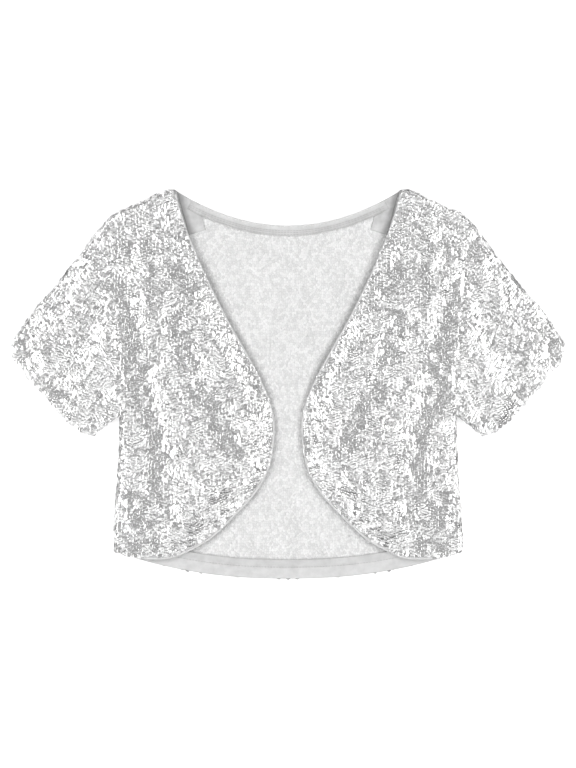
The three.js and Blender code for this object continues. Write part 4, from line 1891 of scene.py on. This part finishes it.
@dataclass
class FacingEnd:
    """Plain corner that carries the neck facing on to the shoulder point, under the front's edge; its darker
    tone is painted shade.
    """

    side: Side
    foot: tuple[float, float] = (86.6, 161.4)
    under: tuple[float, float] = (104.0, 156.0)
    top: tuple[float, float] = (94.0, 116.5)
    count: int = 24
    seat: float = -0.2
    thick: float = 0.25
    seam: tuple[float, float, int] = (0.04, 0.96, 9)
    shade_reach: float = 8.0
    fade: tuple[float, float] = (0.1, 0.41)
    fade_reach: float = 9.0

    def shade(self, xy: Points) -> np.ndarray:
        """Painted shade of the corner: a painted shadow deep under the front's edge, and fading out at its
        lower edge.
        """
        edge = bell(distance_to(OPENING_LINE, xy), self.shade_reach)
        above = distance_to(np.array([self.foot, self.under]), xy)
        least, most = self.fade
        return np.maximum(edge, least + (most - least) * smooth(above / self.fade_reach))

    def seated(self, xy: Points) -> Points:
        """Plan points put just over the back."""
        points = lifted(xy, LAYERS.lower)
        points[..., 2] += CUT.wall / 2 + self.seat
        return points

    def build(self, tree: StitchTree) -> list[Piece]:
        """Makes the corner and the stitches of its inner seam."""
        low, high = np.array(self.foot), np.array(self.under)
        start, end = self.top
        inner, outer = neckline(np.array(start)), neckline(np.array(end))

        def edge(t: np.ndarray) -> Points:
            """Stretch of the neckline over the corner."""
            return neckline(start + (end - start) * np.asarray(t, float))

        patch = Patch(straight(low, high), edge, straight(low, inner), straight(high, outer))
        t = np.linspace(0, 1, self.count)
        grid = mirrored(self.seated(patch(*np.meshgrid(t, t))), self.side)
        corner = shell(f"neck_facing_end_{self.side.word}", grid, -self.thick, 0.0)
        finished(corner, CORNER)
        shaded_by(corner, self.shade)
        seats = self.seated(straight(low, inner)(np.linspace(*self.seam)))
        way = repeated((*unit(inner - low), 0.0), len(seats))
        name = f"neck_facing_end_stitches_{self.side.word}"
        return [corner, END_STITCH.lay(tree, name, seats, way, self.side)]


@dataclass(frozen=True)
class Lamp:
    """A long softbox that looks at the garment."""

    name: str
    azimuth: float
    elevation: float
    power: float
    length: float
    height: float
    distance: float = 1.7

    def place(self) -> None:
        """Adds the light."""
        data = bpy.data.lights.new(self.name, "AREA")
        data.shape, data.size, data.size_y = "RECTANGLE", self.length, self.height
        data.energy = self.power
        lamp = linked(self.name, data)
        a, e = math.radians(self.azimuth), math.radians(self.elevation)
        way = np.array([math.sin(a) * math.cos(e), -math.cos(a) * math.cos(e), math.sin(e)])
        lamp.location = way * self.distance
        lamp.rotation_euler = (math.pi / 2 - e, 0.0, a)


@dataclass
class Studio:
    """White floor, soft light, and the camera straight above."""

    floor_size: float = 8.0
    photo_height: int = 768
    mm_per_pixel: float = 1.05
    centre_y: float = -0.26
    camera_height: float = 3.2
    sensor: float = 36.0
    world: float = 0.25
    lamps: tuple[Lamp, ...] = (
        Lamp("softbox_right", 90.0, 42.0, 15.6, 2.2, 0.65),
        Lamp("softbox_left", -90.0, 42.0, 15.6, 2.2, 0.65),
        Lamp("softbox_near", 0.0, 47.0, 7.0, 1.6, 1.3),
        Lamp("softbox_far", 180.0, 45.0, 5.0, 1.6, 0.9),
        Lamp("softbox_above", 0.0, 90.0, 10.0, 4.4, 4.4, 4.0),
    )

    def build(self) -> None:
        """Adds floor, light and camera, and sets the plain view transform."""
        scene = bpy.context.scene
        half = self.floor_size / 2 / MM
        corners = np.array([[-half, -half, 0], [half, -half, 0], [half, half, 0], [-half, half, 0]], float)
        floor = mesh_object("floor", corners, [[0, 1, 2, 3]])
        floor.data.materials.append(FloorFinish().material())
        scene.world = bpy.data.worlds.new("studio")
        scene.world.use_nodes = True
        back = scene.world.node_tree.nodes["Background"]
        back.inputs["Color"].default_value = grey(1.0)
        back.inputs["Strength"].default_value = self.world
        for lamp in self.lamps:
            lamp.place()
        scene.view_settings.view_transform = "Standard"
        camera = bpy.data.cameras.new("camera")
        seen = self.photo_height * self.mm_per_pixel * MM
        camera.sensor_width = self.sensor
        camera.lens = self.sensor * self.camera_height / seen
        eye = linked("camera", camera)
        eye.location = (0.0, self.centre_y * MM, self.camera_height)
        scene.camera = eye


def main() -> None:
    """Builds the garment piece by piece, then the studio."""
    logging.basicConfig(level=logging.INFO, format="%(name)s: %(message)s")
    sequins, stitches = SequinTree(), StitchTree()
    made = BackPanel().build(sequins)
    for side in Side:
        made += FrontPanel(side).build(sequins, Binding(side).build())
        made += Sleeve(side).build(sequins)
    ends = [piece for side in Side for piece in FacingEnd(side).build(stitches)]
    neck = Facing(
        name="neck_facing", edge=neckline, inward=-1.0, depth=10.5, end=101.0, flat=(0.225, 0.011),
        stitch_rows=(5.6, 7.4, 9.4), end_fade=14.0, raw_ends=420,
    )
    made += neck.build(stitches, ends)
    low = Facing(
        name="hem_facing", edge=hem, inward=1.0, depth=20.0, end=172.0, flat=(0.352, 0.020),
        stitch_rows=(12.0,), across=20, shade_from=11.6, shade_to=12.6, shade_middle=0.38, shade_ends=0.38,
    )
    made += low.build(stitches)
    Studio().build()
    LOG.info("%d pieces, %d triangles", len(made), sum(triangles(piece) for piece in made))


if __name__ == "__main__":
    main()
